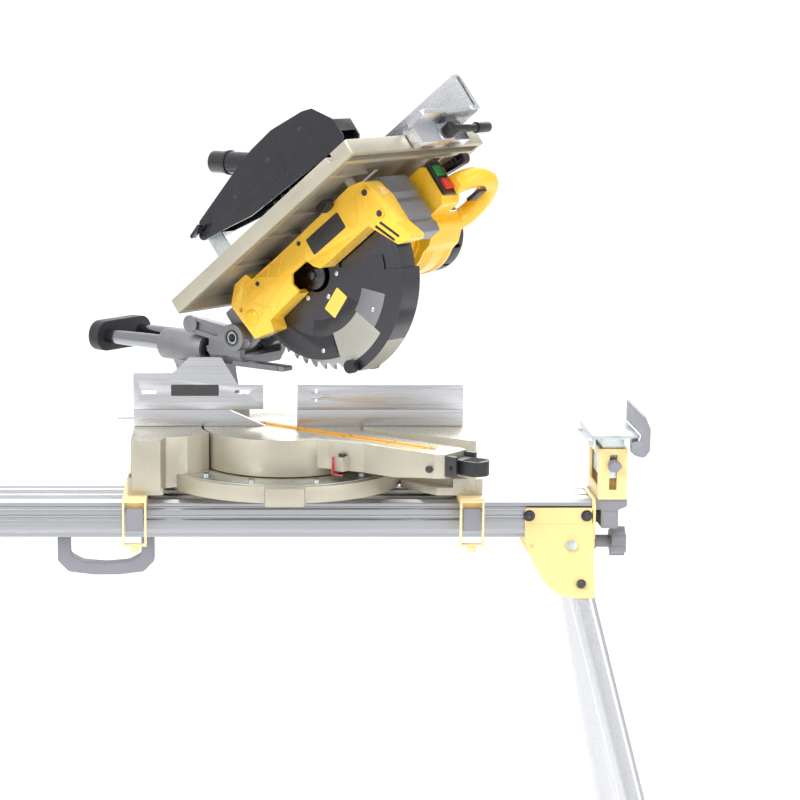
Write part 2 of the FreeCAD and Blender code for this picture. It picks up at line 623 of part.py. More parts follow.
def head_yoke():
    """Carriage on the rails' front ends with the head's pivot bosses."""
    pivot = (dim("pivot_u"), dim("pivot_w"))
    channel = plate("yz", [(-58, 145), (-58, 114, 8), (-44, 98, 4), (44, 98, 4), (58, 114, 8), (58, 145),
                           (46, 145), (46, 113, 3), (-46, 113, 3), (-46, 145)], -104, -40)
    block = plate("yz", [(-58, 142, 10), (-58, 114, 8), (-44, 98, 4), (44, 98, 4), (58, 114, 8),
                         (58, 142, 10)], -104, -76)
    prong = plate("xz", [(-60, 98), (44, 98, 3), (44, 106, 3), (-60, 106)], -52, -29.5)
    bosses = [rod("y", (pivot[0], low, pivot[1]), 22, 22) for low in (-68, 46)]
    link = plate("xz", [(-136, 147, 12), (-48, 132), (-48, 160), (-136, 173, 12)], -68, -52)
    recess = plate("xz", [(-124, 152, 4), (-76, 144, 4), (-76, 156, 4), (-124, 166, 4)], -69, -64)
    boss = rod("y", (-134, -70, 160), 14, 20)
    rails = [rod("x", (-104, t, "rail_height"), "rail_radius", 28) for t in RAIL_SIDES]
    bore = rod("y", (pivot[0], -80, pivot[1]), 10, 160)
    swing = rod("y", (pivot[0], -45.6, pivot[1]), 25, 91.2)
    bolt = rod("y", (30, -55, 102), 3, 4)
    shape = cut(fuse(channel, block, prong, *bosses, link, boss), swing, bore, recess, *rails)
    node("head_yoke", fuse(shape, bolt), turn_frame)
    tube = cut(rod("y", (pivot[0], -68, pivot[1]), "10 - running_gap", 136),
               rod("y", (pivot[0], -69, pivot[1]), 7, 50))
    node("head_pivot_pin", tube, turn_frame)


# ---------------------------------------------------------------- saw head

def head_arm():
    """Yellow arm cover along the left of the head."""
    edge = [(-13, 120, 3), (27, 110, 3), (31, 127, 3), (106, 132, 3), (101, 148, 3), (110, 161, 5),
            (146, 161, 5), (153, 146, 3), (163, 136, 3), (276, 137, 4), (305, 84, 3), (336, 74, 6),
            (322, 112, 5), (321, 160, 20), (311, 195, 14), (283, 204, 30), (257, 203, 10), (217, 201, 4),
            (40, 196, 4), (33, 211, 4), (4, 211, 6), (-23, 188, 6)]
    skin = plate("xz", edge, -62, -28.5)
    room = plate("xz", [(-2, 132, 4), (20, 128, 4), (34, 138, 4), (100, 140, 4), (156, 160, 4), (268, 147, 4),
                        (290, 130, 4), (300, 110, 4), (312, 140, 4), (304, 186, 8), (280, 197, 8), (220, 194, 4),
                        (20, 188, 4)], -57, -28)
    dome = rod("y", ("blade_u", -57, "blade_w"), 30, 30)
    boss = turned((0, -1, 0), (2, -62, 150), [(0, -1), (13, -1), (13, 1.5, 2), (8, 3.5, 3), (0, 3.5)])
    drain = rod("y", (-9, -63, 172), 4, 6)
    seat_plate = plate("xz", [(162, 156, 2), (244, 156, 2), (244, 189, 2), (162, 189, 2)], -62.6, -60)
    screws = [rod("y", (u, -68, w), 6, 8) for u, w in ((304, 178), (308, 138))]
    vents = [plate("xz", [(a, 130, 2), (a + 5, 130, 2), (a + 22, 92, 2), (a + 17, 92, 2)], -63, -56)
             for a in (284, 294)]
    post_bore = rod("z", (276, -44, 150), "8 + running_gap", 70)
    shape = cut(fuse(cut(skin, room), boss, seat_plate, *screws), dome, drain, post_bore, *vents)
    return node("arm_cover", shape, head_frame)


def gear_case():
    """Grey head casting: pivot barrel, backbone beside the blade and front ring."""
    bores = [rod("y", (dim("pivot_u"), -50, dim("pivot_w")), 10, 100) for _ in range(3)]
    barrel = cut(rod("y", (dim("pivot_u"), -45, dim("pivot_w")), 22, 90),
                 box((-80, 20), (-28.4, 17.8), (100, 190)), bores[0])
    spine = plate("xz", [(-62, 130, 8), (-30, 120, 8), (40, 104, 20), (120, 96, 20), (200, 96, 20),
                         (262, 100, 10), (262, 190, 10), (150, 192, 20), (20, 180, 20), (-40, 172, 10),
                         (-66, 160, 8)], 18, 38)
    left_strap = cut(plate("xz", [(-60, 132, 8), (-36, 124, 6), (-24.5, 128), (-24.5, 170), (-50, 170, 8)],
                           -45, -28.5), bores[1])
    tie = cut(plate("xz", [(-52, 160), (-28, 160), (-28, 192, 3), (-52, 192, 3)], -45, 38),
              box((-46, -20), (-1.3, 1.3), (150, 200)))
    ring = plate("xz", [(292, 92, 4), (318, 92, 4), (320, 108, 3), (316, 116, 3), (321, 124, 3), (321, 146, 3),
                        (317, 154, 3), (320, 164, 3), (316, 196, 6), (292, 209, 4)], -28, 38)
    bridge = plate("xz", [(250, 168, 2), (300, 150, 2), (300, 190, 2), (250, 190, 2)], 18.5, 38)
    arbor_bore = rod("y", ("blade_u", 10, "blade_w"), "13 + running_gap", 40)
    post_bore = rod("z", (56, 28, 118), "8 + running_gap", 100)
    backbone = cut(spine, bores[2], arbor_bore, post_bore)
    casting = fuse(barrel, backbone, left_strap, tie, ring, bridge)
    casting.Refine = False
    return node("gear_case", casting, head_frame)


def upper_guard():
    """Fixed guard over the upper part of the blade."""
    drum = cut(rod("y", ("blade_u", -24, "blade_w"), "guard_radius", 38),
               rod("y", ("blade_u", -21, "blade_w"), "guard_radius - 4", 32))
    bosses = [rod("y", (u, 12, 168), 7, 6) for u in (62, 186)]
    below = plate("xz", [(-80, -60), (330, -60), (330, 30), (262, 62), (60, 122), (-80, 122)], -40, 40)
    above = box((-80, 330), (-40, 40), (198, 330))
    behind = box((-80, -24), (-40, 40), (100, 220))
    hub_hole = rod("y", ("blade_u", -30, "blade_w"), 26, 60)
    return node("upper_guard", fuse(cut(drum, below, above, behind, hub_hole), *bosses), head_frame)


def sector(start, end, reach):
    """A wedge about the blade's axis between two angles of less than a half turn."""
    points = [(dim("blade_u"), dim("blade_w"))]
    for share in (0, 0.5, 1):
        angle = math.radians(start + (end - start) * share)
        points.append((dim("blade_u") + reach * math.cos(angle), dim("blade_w") + reach * math.sin(angle)))
    return plate("xz", points, -40, 40)


def lower_guard():
    """Swinging guard: a side disc on the left of the blade, a rim and two rollers."""
    u, w = dim("blade_u"), dim("blade_w")
    disc = fuse(common(rod("y", (u, -27, w), 132, 2), sector(-198, -106, 400)),
                common(rod("y", (u, -27, w), 132, 2), sector(-108, -20, 400)),
                rod("y", (u, -27, w), 48, 2))
    rim = cut(rod("y", (u, -27, w), 165, 44.5), rod("y", (u, -25, w), 161.5, 40),
              rod("y", (u, -30, w), 100, 60))
    axle = rod("y", (u - 24, -38, w - 152), 4, 67)
    through = cut(axle, rod("y", (u - 24, -24.5, w - 152), 5, 40))
    rollers = [rod("y", (u - 24, low, w - 152), 10.5, 11) for low in (-38.5, 18.5)]
    lugs = [rod("y", (u - 24, low, w - 152), 10, thick) for low, thick in ((-27, 2), (15, 2.5))]
    shape = fuse(cut(disc, rod("y", (u, -28, w), 26.5, 4)), common(rim, sector(-97, -30, 300)), through,
                 *lugs, *rollers)
    return node("lower_guard", shape, head_frame)


def saw_blade():
    """Thin disc with raked teeth, expansion slots and the arbor hole."""
    teeth = 48
    radius = dim("blade_radius")
    points = []
    for i in range(teeth):
        start = 2 * math.pi * i / teeth
        step = 2 * math.pi / teeth
        for share, depth in ((0.0, 0.0), (0.05, 9.0), (0.35, 9.5), (0.72, 2.2)):
            angle = start + step * share
            reach = radius - depth
            points.append((dim("blade_u") + reach * math.cos(angle), dim("blade_w") + reach * math.sin(angle)))
    disc = plate("xz", points, "-blade_half", "blade_half")
    return node("saw_blade", cut(disc, rod("y", ("blade_u", -5, "blade_w"), 12.5, 10)), head_frame)


def arbor():
    """Arbor shaft with clamping flanges, outer bolt and the driven pulley."""
    shaft = rod("y", ("blade_u", -34, "blade_w"), 12.45, 90)
    flanges = [rod("y", ("blade_u", -33.5, "blade_w"), 22, 32.1), rod("y", ("blade_u", 1.4, "blade_w"), 22, 9)]
    pulley = rod("y", ("blade_u", 44, "blade_w"), 30, 12)
    bolt = hexagon((0, -1, 0), (dim("blade_u"), -34, dim("blade_w")), 12, 5)
    journal = rod("y", ("blade_u", 10, "blade_w"), 13, 34)
    return node("arbor", fuse(shaft, *flanges, pulley, bolt, journal), head_frame)


def pulley_loop(radius_arbor, radius_motor, low, high):
    """A belt-shaped plate round the arbor and motor centres, grown to the given radii."""
    a = Vector(dim("blade_u"), dim("blade_w"), 0)
    b = Vector(dim("motor_u"), dim("motor_w"), 0)
    line = b - a
    distance = line.Length
    heading = math.atan2(line.y, line.x)
    lean = math.acos((radius_arbor - radius_motor) / distance)
    points = []
    for centre, radius, angle in ((a, radius_arbor, lean), (b, radius_motor, lean),
                                  (b, radius_motor, -lean), (a, radius_arbor, -lean)):
        points.append((centre.x + radius * math.cos(heading + angle),
                       centre.y + radius * math.sin(heading + angle)))
    strip = plate("xz", points, low, high)
    ends = [rod("y", (a.x, low, a.y), radius_arbor, high - low), rod("y", (b.x, low, b.y), radius_motor, high - low)]
    return fuse(strip, *ends)


def drive():
    """Belt from the motor to the arbor, and the rotor that drives it."""
    node("drive_belt", cut(pulley_loop(32.4, 17.4, 45, 55), pulley_loop(30.4, 15.4, 44, 56)), head_frame)
    shaft = rod("y", ("motor_u", 44, "motor_w"), 7, 112)
    pulley = rod("y", ("motor_u", 44, "motor_w"), 15, 12)
    core = rod("y", ("motor_u", 76, "motor_w"), 34, 50)
    commutator = rod("y", ("motor_u", 130, "motor_w"), 16, 14)
    node("motor_rotor", fuse(shaft, pulley, core, commutator), head_frame)


def motor_housing():
    """Yellow motor can with the belt cover, and its vented end cap."""
    can = cut(rod("y", ("motor_u", 61, "motor_w"), "motor_radius", 79),
              rod("y", ("motor_u", 62, "motor_w"), 56, 90))
    cover = cut(pulley_loop(42, 46, 38.3, 62), pulley_loop(37, 40, 40, 59))
    web = rod("y", ("motor_u", 58, "motor_w"), 52, 6)
    throat = plate("xz", [(215, 84, 10), (272, 92, 8), (298, 112, 8), (298, 136, 4), (250, 136)], 61, 140)
    throat = cut(throat, rod("y", ("motor_u", 50, "motor_w"), 57, 100))
    shaft_bore = rod("y", ("motor_u", 50, "motor_w"), 7.3, 60)
    arbor_bore = rod("y", ("blade_u", 30, "blade_w"), 14, 12)
    node("motor_housing", cut(fuse(can, cover, web, throat), shaft_bore, arbor_bore), head_frame)
    cap = cut(rod("y", ("motor_u", 140.3, "motor_w"), "motor_radius - 1", 26.4),
              rod("y", ("motor_u", 139, "motor_w"), "motor_radius - 6", 23))
    slots = []
    for i in range(10):
        holder = group(box((-3, 3), (0, 16), (40, 70)))
        seat(holder, (dim("motor_u"), 145, dim("motor_w")), Rotation(Vector(0, 1, 0), 36 * i))
        slots.append(holder)
    node("motor_end_cap", cut(cap, *slots), head_frame)


def swept(points, radius, name):
    """A round bar along straight runs joined by tangent arcs."""
    edges = []
    previous = Vector(*points[0])
    for i in range(1, len(points) - 1):
        before, corner, after = (Vector(*points[j]) for j in (i - 1, i, i + 1))
        back, ahead = before - corner, after - corner
        half = back.getAngle(ahead) / 2
        reach = 0.45 * min(back.Length, ahead.Length)
        enter = corner + back.normalize() * reach
        leave = corner + ahead.normalize() * reach
        bend = reach * math.tan(half)
        middle = (back + ahead).normalize()
        top = corner + middle * (bend / math.sin(half) - bend)
        edges.append(Part.LineSegment(previous, enter).toShape())
        edges.append(Part.Arc(enter, top, leave).toShape())
        previous = leave
    edges.append(Part.LineSegment(previous, Vector(*points[-1])).toShape())
    path = Part.Wire(edges)
    start = Vector(*points[0])
    circle = Part.Wire([Part.makeCircle(radius, start, Vector(*points[1]) - start)])
    obj = doc.addObject("Part::Feature", name)
    obj.Shape = path.makePipeShell([circle], True, False)
    return obj


def front_handle():
    """Switch housing with the D grip that runs back to the motor."""
    shell = plate("xz", [(246, 141, 6), (262, 128, 4), (330, 128, 6), (338, 139, 4), (338, 190, 6),
                         (330, 197, 6), (262, 197, 6), (246, 190, 6)], 60, 105)
    room = box((256, 330), (66, 99), (136, 190))
    grip = swept([(320, 90, 152), (352, 96, 152), (372, 124, 148), (366, 158, 142), (334, 176, 134),
                  (296, 166, 126), (278, 140, 122)], 16, "Grip")
    motor = rod("y", ("motor_u", 50, "motor_w"), "motor_radius + 0.4", 130)
    plate_room = box((338, 344.6), (50, 94.3), (120, 210))
    button_room = box((338, 360), (50, 88.6), (120, 210))
    throat = box((200, 298.3), (60, 141), (80, 136.3))
    trigger = box((330, 366), (118, 140), (122, 137))
    holes = [box((329, 346), (BUTTON_T[0] - 0.4, BUTTON_T[1] + 0.4), (w - 0.4, w + BUTTON_HEIGHT + 0.4))
             for w in BUTTON_W]
    shape = cut(fuse(cut(shell, room), grip), motor, plate_room, button_room, throat, trigger, *holes)
    node("front_handle", shape, head_frame)
    face = plate("yz", [(62, 139, 4), (94, 139, 4), (94, 197, 4), (62, 197, 4)], 338.3, 344)
    holes = [box((337, 346), (BUTTON_T[0] - 0.4, BUTTON_T[1] + 0.4), (w - 0.4, w + BUTTON_HEIGHT + 0.4))
             for w in BUTTON_W]
    node("switch_plate", cut(face, *holes), head_frame)
    for name, w, front in (("stop_button", BUTTON_W[0], 349), ("start_button", BUTTON_W[1], 345.5)):
        node(name, box((333, front), BUTTON_T, (w, w + BUTTON_HEIGHT)), head_frame)


def guard_release():
    """Lever under the grip that frees the lower guard."""
    lever = plate("xz", [(336, 124.5, 2), (364, 124.5, 2), (364, 130, 2), (336, 131, 2)], 119, 139)
    return node("guard_release_lever", lever, head_frame)


def bench_table():
    """Light alloy bench table with skirt, ribs, blade slot, mitre groove and two posts."""
    outline = [("bench_rear", "bench_left"), ("bench_front", "bench_left"), ("bench_front", "bench_right"),
               ("bench_rear", "bench_right")]
    outline = [(dim(u), dim(t), 4) for u, t in outline]
    top = plate("xy", outline, "bench_top - bench_skirt", "bench_top")
    under = [box((-38, 352), (low, high), (190, 218)) for low, high in ((-152, -13), (13, 167), (-13.5, 13.5))]
    front_room = box((360, 374), (-152, 167), (190, 212))
    slot = box((-52, 300), (-5, 5), (190, 230))
    groove = box((336, 346), (-161, 176), (214, 230))
    ribs = [box((u, u + 3), (-152, -30), (211, 219)) for u in (60, 140, 200, 300)]
    ribs += [box((u, u + 3), (60, 167), (211, 219)) for u in (40, 120, 200, 330)]
    ribs += [box((-38, 352), (t, t + 4), (211, 219)) for t in (-120, 130)]
    posts = [rod("z", (u, t, w), 8, 219 - w) for u, t, w in ((276, -44, 150), (56, 28, 120))]
    shape = fuse(cut(top, *under, front_room, slot, groove), *ribs, *posts)
    return node("bench_table", shape, head_frame)


def table_knob():
    """Winged knob that locks the bench table's height."""
    head = plate("xz", [(222, 193, 6), (246, 196, 6), (250, 209, 6), (226, 209, 6)], -84, -66)
    stem = rod("y", (236, -66, 201), 5, 3.7)
    return node("table_lock_knob", fuse(head, stem), head_frame)


def riving_knife():
    """Curved knife behind the blade that also carries the top guard."""
    u, w = dim("blade_u"), dim("blade_w")
    outline = [(u - 156, w - 6), (u - 168, w + 60, 20), (u - 166, w + 120, 20), (u - 168, 344, 6),
               (u - 142, 344, 6), (u - 136, 300, 10), (u - 122, w + 110, 20), (u - 148, w + 60, 20),
               (u - 151.8, w + 30, 10), (u - 153, w - 6)]
    bore = rod("y", (GUARD_HINGE[0], -3, GUARD_HINGE[1]), "4 + running_gap", 6)
    return node("riving_knife", cut(plate("xz", outline, -1.2, 1.2), bore), head_frame)


def top_guard():
    """Hollow guard over the blade above the bench table, with its dust spout."""
    side = [(-44, 326, 8), (-36, 318, 6), (-5, 312, 6), (68, 294, 10), (284, 280, 4), (292, 288, 3), (292, 320, 8),
            (269, 356, 10), (250, 364, 10), (183, 377, 30), (131, 376, 30), (73, 367, 20), (-26, 348, 8)]
    shell = plate("xz", side, -22, 22)
    hollow = plate("xz", [(-2, 290), (300, 270), (286, 318, 6), (264, 350, 8), (183, 371, 30), (131, 370, 30),
                          (74, 361, 20), (-6, 340, 4)], -18, 18)
    fork = box((-60, -6), (-1.6, 1.6), (300, 360))
    axis = Vector(-0.79, 0, 0.61).normalize()
    start = Vector(112, 0, 362)

    def tube(distance, radius, length):
        return rod(tuple(axis), tuple(start + axis * distance), radius, length)

    spout = cut(tube(0, 18, 86), tube(0, 15.5, 90))
    collar = cut(tube(52, 20, 5), tube(0, 15.5, 90))
    panel = plate("xz", [(30, 318, 6), (170, 308, 6), (176, 340, 6), (40, 346, 6)], -22.8, -21)
    shape = cut(fuse(cut(shell, hollow), spout, collar, panel), tube(-16, 15.5, 60), fork)
    pin = rod("y", (GUARD_HINGE[0], -28, GUARD_HINGE[1]), 4.0, 56)
    wings = plate("xz", [(-45, 328, 2), (-18, 334, 2), (-18, 340, 2), (-45, 334, 2)], -38, -28)
    return node("top_guard", fuse(shape, pin, wings), head_frame)


def rip_fence():
    """Extruded rip fence on its clamping head, which runs along the table's front edge."""
    blade = cut(box((40, 440), (100, 118), (226, 289)), box((39, 441), (105, 113), (232, 284)))
    shoe = plate("xy", [(374, -4, 4), (400, -22, 6), (436, -22, 6), (436, 118, 4), (352, 118, 4),
                        (352, 100, 4), (374, 60)], 225, 233)
    hook = box((384, 402), (-14, 110), (196, 226))
    clamp = plate("yz", [(38, 198, 3), (70, 196, 6), (72, 224, 6), (40, 228, 4)], 401, 405)
    node("rip_fence", fuse(blade, shoe, hook, clamp), head_frame)
    hub = rod("x", (405.3, 60, 210), 11, 11)
    arm = fuse(rod((0, 1, 0), (411, 60, 210), 6, 70), rod((0, 1, 0), (411, 126, 210), 8.5, 32))
    node("fence_clamp_lever", fuse(hub, arm), head_frame)


def push_stick():
    """Ribbed push stick clipped under the table."""
    stick = plate("xz", [(300, 186, 4), (372, 174, 8), (378, 190, 6), (306, 199, 4)], 112, 128)
    ribs = [box((u, u + 3), (110.5, 112), (184, 192)) for u in range(318, 366, 8)]
    return node("push_stick", fuse(stick, *ribs), head_frame)


# ---------------------------------------------------------------- build

main_beam()
for side, suffix in ((1, "right"), (-1, "left")):
    leg_bracket(side, f"leg_bracket_{suffix}")
    end_support(side, suffix)
    for face, end in ((-1, "front"), (1, "rear")):
        leg(side, face, f"leg_{end}_{suffix}")
stand_bolts()
carry_handle()
saw_brackets()
base_casting()
mitre_scale()
fences()
turntable()
kerf_plates()
turntable_fittings()
mitre_handle()
bevel_housing()
bevel_lever()
slide_rails()
head_yoke()
head_arm()
gear_case()
upper_guard()
lower_guard()
saw_blade()
arbor()
drive()
motor_housing()
front_handle()
guard_release()
bench_table()
table_knob()
riving_knife()
top_guard()
rip_fence()
push_stick()

doc.recompute()
failed = [obj for obj in doc.Objects if "Invalid" in obj.State or "Error" in obj.State]
if failed:
    raise RuntimeError("; ".join(f"{obj.Name} ({obj.Label}) {obj.State} used by "
                                 f"{[user.Label for user in obj.InListRecursive]}" for obj in failed))
os.makedirs("parts", exist_ok=True)
for obj in nodes:
    if obj.Shape.isNull() or not obj.Shape.isValid() or not obj.Shape.Solids:
        raise RuntimeError(f"{obj.Label} has no valid shape")
    obj.Shape.exportStep(f"parts/{obj.Label}.step")
    bounds = obj.Shape.BoundBox
    print(f"{obj.Label:24s} solids {len(obj.Shape.Solids):2d}  volume {obj.Shape.Volume / 1000:9.1f} cm3  "
          f"z {bounds.ZMin:7.1f} to {bounds.ZMax:7.1f}")
print(len(nodes), "nodes")
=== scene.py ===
"""Looks of the mitre saw on its stand: camera, studio, materials and surface detail over the CAD frame."""

import json
import math

import bmesh
import bpy
from mathutils import Matrix, Vector


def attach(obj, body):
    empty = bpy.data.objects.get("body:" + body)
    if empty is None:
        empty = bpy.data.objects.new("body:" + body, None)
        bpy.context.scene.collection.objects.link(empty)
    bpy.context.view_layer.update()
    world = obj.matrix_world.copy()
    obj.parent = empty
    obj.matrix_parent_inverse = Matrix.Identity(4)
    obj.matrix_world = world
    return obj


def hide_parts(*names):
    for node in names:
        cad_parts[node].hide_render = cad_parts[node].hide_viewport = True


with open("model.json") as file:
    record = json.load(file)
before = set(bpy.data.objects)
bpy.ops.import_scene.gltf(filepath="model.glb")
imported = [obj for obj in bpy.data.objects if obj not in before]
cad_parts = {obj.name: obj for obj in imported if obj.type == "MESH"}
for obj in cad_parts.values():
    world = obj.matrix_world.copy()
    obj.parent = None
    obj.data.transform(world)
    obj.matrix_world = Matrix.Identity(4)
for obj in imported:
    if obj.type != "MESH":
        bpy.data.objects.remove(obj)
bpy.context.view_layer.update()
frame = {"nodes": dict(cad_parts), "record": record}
scene = bpy.context.scene
body_of = {node: body for body, nodes in frame["record"]["behaviour"]["bodies"].items() for node in nodes}
slot_of = {part["node"]: part["material_slot"] for part in frame["record"]["subparts"]}


# ---------------------------------------------------------------- saw frames

MM = 0.001
TABLE_TOP = 0.912
SAW_CENTRE = Vector((0.280, 0.040, TABLE_TOP))
MITRE = math.radians(-40)
PIVOT_U, PIVOT_W = -48, 145
HEAD_PIVOT = Vector((PIVOT_U, 0, PIVOT_W)) * MM
HEAD_RAISE = math.radians(-37.8)

# Places in millimetres: u along the cut, t across it and w up, in the turntable's or the head's frame.
BLADE_U, BLADE_W = 124, 146
MOTOR_U, MOTOR_W = 222, 142
GUARD_FACE = -27
COVER_FACE = -62
BENCH_TOP = 224
RAIL_SIDES = (-40, 40)
RAIL_HEIGHT = 119
RAIL_REAR = -361

# Places in millimetres in the row frame.
BRACKET_FACE = 59
LEG_PIVOT_X, LEG_PIVOT_Z = 729, 736
SUPPORT_X, SUPPORT_TOP = 794, 918

saw_frame = Matrix.Translation(SAW_CENTRE)
turn_frame = saw_frame @ Matrix.Rotation(MITRE, 4, "Z")
head_frame = (turn_frame @ Matrix.Translation(HEAD_PIVOT) @ Matrix.Rotation(HEAD_RAISE, 4, "Y")
              @ Matrix.Translation(-HEAD_PIVOT))
row_frame = Matrix.Identity(4)


# ---------------------------------------------------------------- camera

def make_camera():
    camera = bpy.data.objects.new("camera", bpy.data.cameras.new("camera"))
    scene.collection.objects.link(camera)
    camera.location = (0.205, -3.5679, 1.5710)
    camera.rotation_euler = (math.radians(90 - 9.7), 0, 0)
    camera.data.sensor_width = 36
    camera.data.lens = 103.5
    camera.data.shift_x = 0.206
    scene.camera = camera
    scene.view_settings.view_transform = "Standard"


# ---------------------------------------------------------------- materials

class Nodes:
    """Short calls for building one material's node tree."""

    def __init__(self, name):
        self.material = bpy.data.materials.new(name)
        self.material.use_nodes = True
        self.tree = self.material.node_tree
        self.shader = self.tree.nodes["Principled BSDF"]
        self.place = self.tree.nodes.new("ShaderNodeTexCoord").outputs["Object"]

    def make(self, kind, **settings):
        node = self.tree.nodes.new(kind)
        for key, setting in settings.items():
            setattr(node, key, setting)
        return node

    def link(self, source, target):
        self.tree.links.new(source, target)

    def stretched(self, scale):
        mapping = self.make("ShaderNodeMapping")
        self.link(self.place, mapping.inputs["Vector"])
        mapping.inputs["Scale"].default_value = scale
        return mapping.outputs["Vector"]

    def noise(self, scale, detail=4, rough=0.55, stretch=None):
        node = self.make("ShaderNodeTexNoise")
        self.link(self.stretched(stretch) if stretch else self.place, node.inputs["Vector"])
        node.inputs["Scale"].default_value = scale
        node.inputs["Detail"].default_value = detail
        node.inputs["Roughness"].default_value = rough
        return node.outputs["Fac"]

    def cells(self, scale):
        node = self.make("ShaderNodeTexVoronoi")
        self.link(self.place, node.inputs["Vector"])
        node.inputs["Scale"].default_value = scale
        return node.outputs["Distance"]

    def ramp(self, source, stops):
        """A colour ramp over (position, colour) stops."""
        node = self.make("ShaderNodeValToRGB")
        self.link(source, node.inputs["Fac"])
        elements = node.color_ramp.elements
        while len(elements) < len(stops):
            elements.new(0.5)
        for element, (position, colour) in zip(elements, stops):
            element.position = position
            element.color = (*colour, 1)
        return node.outputs["Color"]

    def spread(self, source, low, high):
        """The source's middle range mapped to low and high."""
        node = self.make("ShaderNodeMapRange")
        self.link(source, node.inputs["Value"])
        node.inputs["From Min"].default_value = 0.3
        node.inputs["From Max"].default_value = 0.7
        node.inputs["To Min"].default_value = low
        node.inputs["To Max"].default_value = high
        return node.outputs["Result"]

    def bump(self, source, strength, distance, under=None):
        node = self.make("ShaderNodeBump")
        node.inputs["Strength"].default_value = strength
        node.inputs["Distance"].default_value = distance
        self.link(source, node.inputs["Height"])
        if under is not None:
            self.link(under, node.inputs["Normal"])
        return node.outputs["Normal"]

    def set(self, **sockets):
        names = {"metallic": "Metallic", "coat": "Coat Weight", "coat_rough": "Coat Roughness"}
        for key, number in sockets.items():
            self.shader.inputs[names[key]].default_value = number


def shade(colour, factor):
    return tuple(min(1.0, max(0.0, c * factor)) for c in colour)


def edge_mask(nodes, low=0.52, high=0.60):
    """White on convex edges, where paint wears."""
    geometry = nodes.make("ShaderNodeNewGeometry")
    node = nodes.make("ShaderNodeMapRange")
    nodes.link(geometry.outputs["Pointiness"], node.inputs["Value"])
    node.inputs["From Min"].default_value = low
    node.inputs["From Max"].default_value = high
    return node.outputs["Result"]


def tinted(nodes, colour, cloud_scale, contrast, edge_colour=None, edge_share=0.5):
    """Base colour with soft clouds of lighter and darker tone, and lighter worn edges."""
    clouds = nodes.ramp(nodes.noise(cloud_scale, 5), [(0.3, shade(colour, 1 - contrast)),
                                                      (0.7, shade(colour, 1 + contrast))])
    if edge_colour is None:
        nodes.link(clouds, nodes.shader.inputs["Base Color"])
        return
    mask = edge_mask(nodes)
    broken = nodes.make("ShaderNodeMath", operation="MULTIPLY")
    nodes.link(mask, broken.inputs[0])
    nodes.link(nodes.spread(nodes.noise(420, 3), 0, edge_share), broken.inputs[1])
    mix = nodes.make("ShaderNodeMix", data_type="RGBA")
    nodes.link(broken.outputs["Value"], mix.inputs["Factor"])
    nodes.link(clouds, mix.inputs["A"])
    mix.inputs["B"].default_value = (*edge_colour, 1)
    nodes.link(mix.outputs["Result"], nodes.shader.inputs["Base Color"])


def moulded(name, colour, rough, grain=2600, depth=0.00012, strength=0.35, coat=0.0, contrast=0.06,
            edge=None):
    """Moulded plastic or rubber with a fine grain."""
    nodes = Nodes(name)
    tinted(nodes, colour, 14, contrast, edge)
    nodes.link(nodes.spread(nodes.noise(60, 4), rough - 0.06, rough + 0.08), nodes.shader.inputs["Roughness"])
    grainy = nodes.bump(nodes.noise(grain, 2), strength, depth)
    pebbled = nodes.bump(nodes.cells(grain * 0.5), strength * 0.5, depth, grainy)
    nodes.link(pebbled, nodes.shader.inputs["Normal"])
    nodes.set(coat=coat, coat_rough=0.18)
    return nodes.material


def painted(name, colour, rough, metallic=0.0, coat=0.3, edge=(0.6, 0.58, 0.54), orange_peel=900):
    """Painted or powder-coated metal with orange peel and worn edges."""
    nodes = Nodes(name)
    tinted(nodes, colour, 9, 0.05, edge)
    nodes.link(nodes.spread(nodes.noise(38, 5), rough - 0.07, rough + 0.09), nodes.shader.inputs["Roughness"])
    nodes.link(nodes.bump(nodes.noise(orange_peel, 2), 0.25, 0.0002), nodes.shader.inputs["Normal"])
    nodes.set(metallic=metallic, coat=coat, coat_rough=0.25)
    return nodes.material


def brushed(name, colour, rough, stretch, metallic=1.0, contrast=0.10, depth=0.00006):
    """Metal with fine lines along one direction: the stretch is small along the lines."""
    nodes = Nodes(name)
    lines = nodes.noise(1, 3, 0.7, stretch)
    nodes.link(nodes.ramp(lines, [(0.3, shade(colour, 1 - contrast)), (0.7, shade(colour, 1 + contrast))]),
               nodes.shader.inputs["Base Color"])
    nodes.link(nodes.spread(lines, rough - 0.07, rough + 0.1), nodes.shader.inputs["Roughness"])
    nodes.link(nodes.bump(lines, 0.35, depth), nodes.shader.inputs["Normal"])
    nodes.set(metallic=metallic)
    return nodes.material


def spun(name, centre, axis, colour, rough, ring_scale, metallic=1.0, groove=0.00006):
    """Metal ground or spun in rings about an axis through a centre."""
    nodes = Nodes(name)
    offset = nodes.make("ShaderNodeVectorMath", operation="SUBTRACT")
    nodes.link(nodes.place, offset.inputs[0])
    offset.inputs[1].default_value = centre
    crossed = nodes.make("ShaderNodeVectorMath", operation="CROSS_PRODUCT")
    nodes.link(offset.outputs["Vector"], crossed.inputs[0])
    crossed.inputs[1].default_value = axis
    length = nodes.make("ShaderNodeVectorMath", operation="LENGTH")
    nodes.link(crossed.outputs["Vector"], length.inputs[0])
    rings = nodes.make("ShaderNodeTexNoise", noise_dimensions="1D")
    nodes.link(length.outputs["Value"], rings.inputs["W"])
    rings.inputs["Scale"].default_value = ring_scale
    rings.inputs["Detail"].default_value = 4
    lines = rings.outputs["Fac"]
    nodes.link(nodes.ramp(lines, [(0.3, shade(colour, 0.86)), (0.7, shade(colour, 1.12))]),
               nodes.shader.inputs["Base Color"])
    nodes.link(nodes.spread(lines, rough - 0.07, rough + 0.1), nodes.shader.inputs["Roughness"])
    nodes.link(nodes.bump(lines, 0.3, groove), nodes.shader.inputs["Normal"])
    nodes.set(metallic=metallic)
    return nodes.material


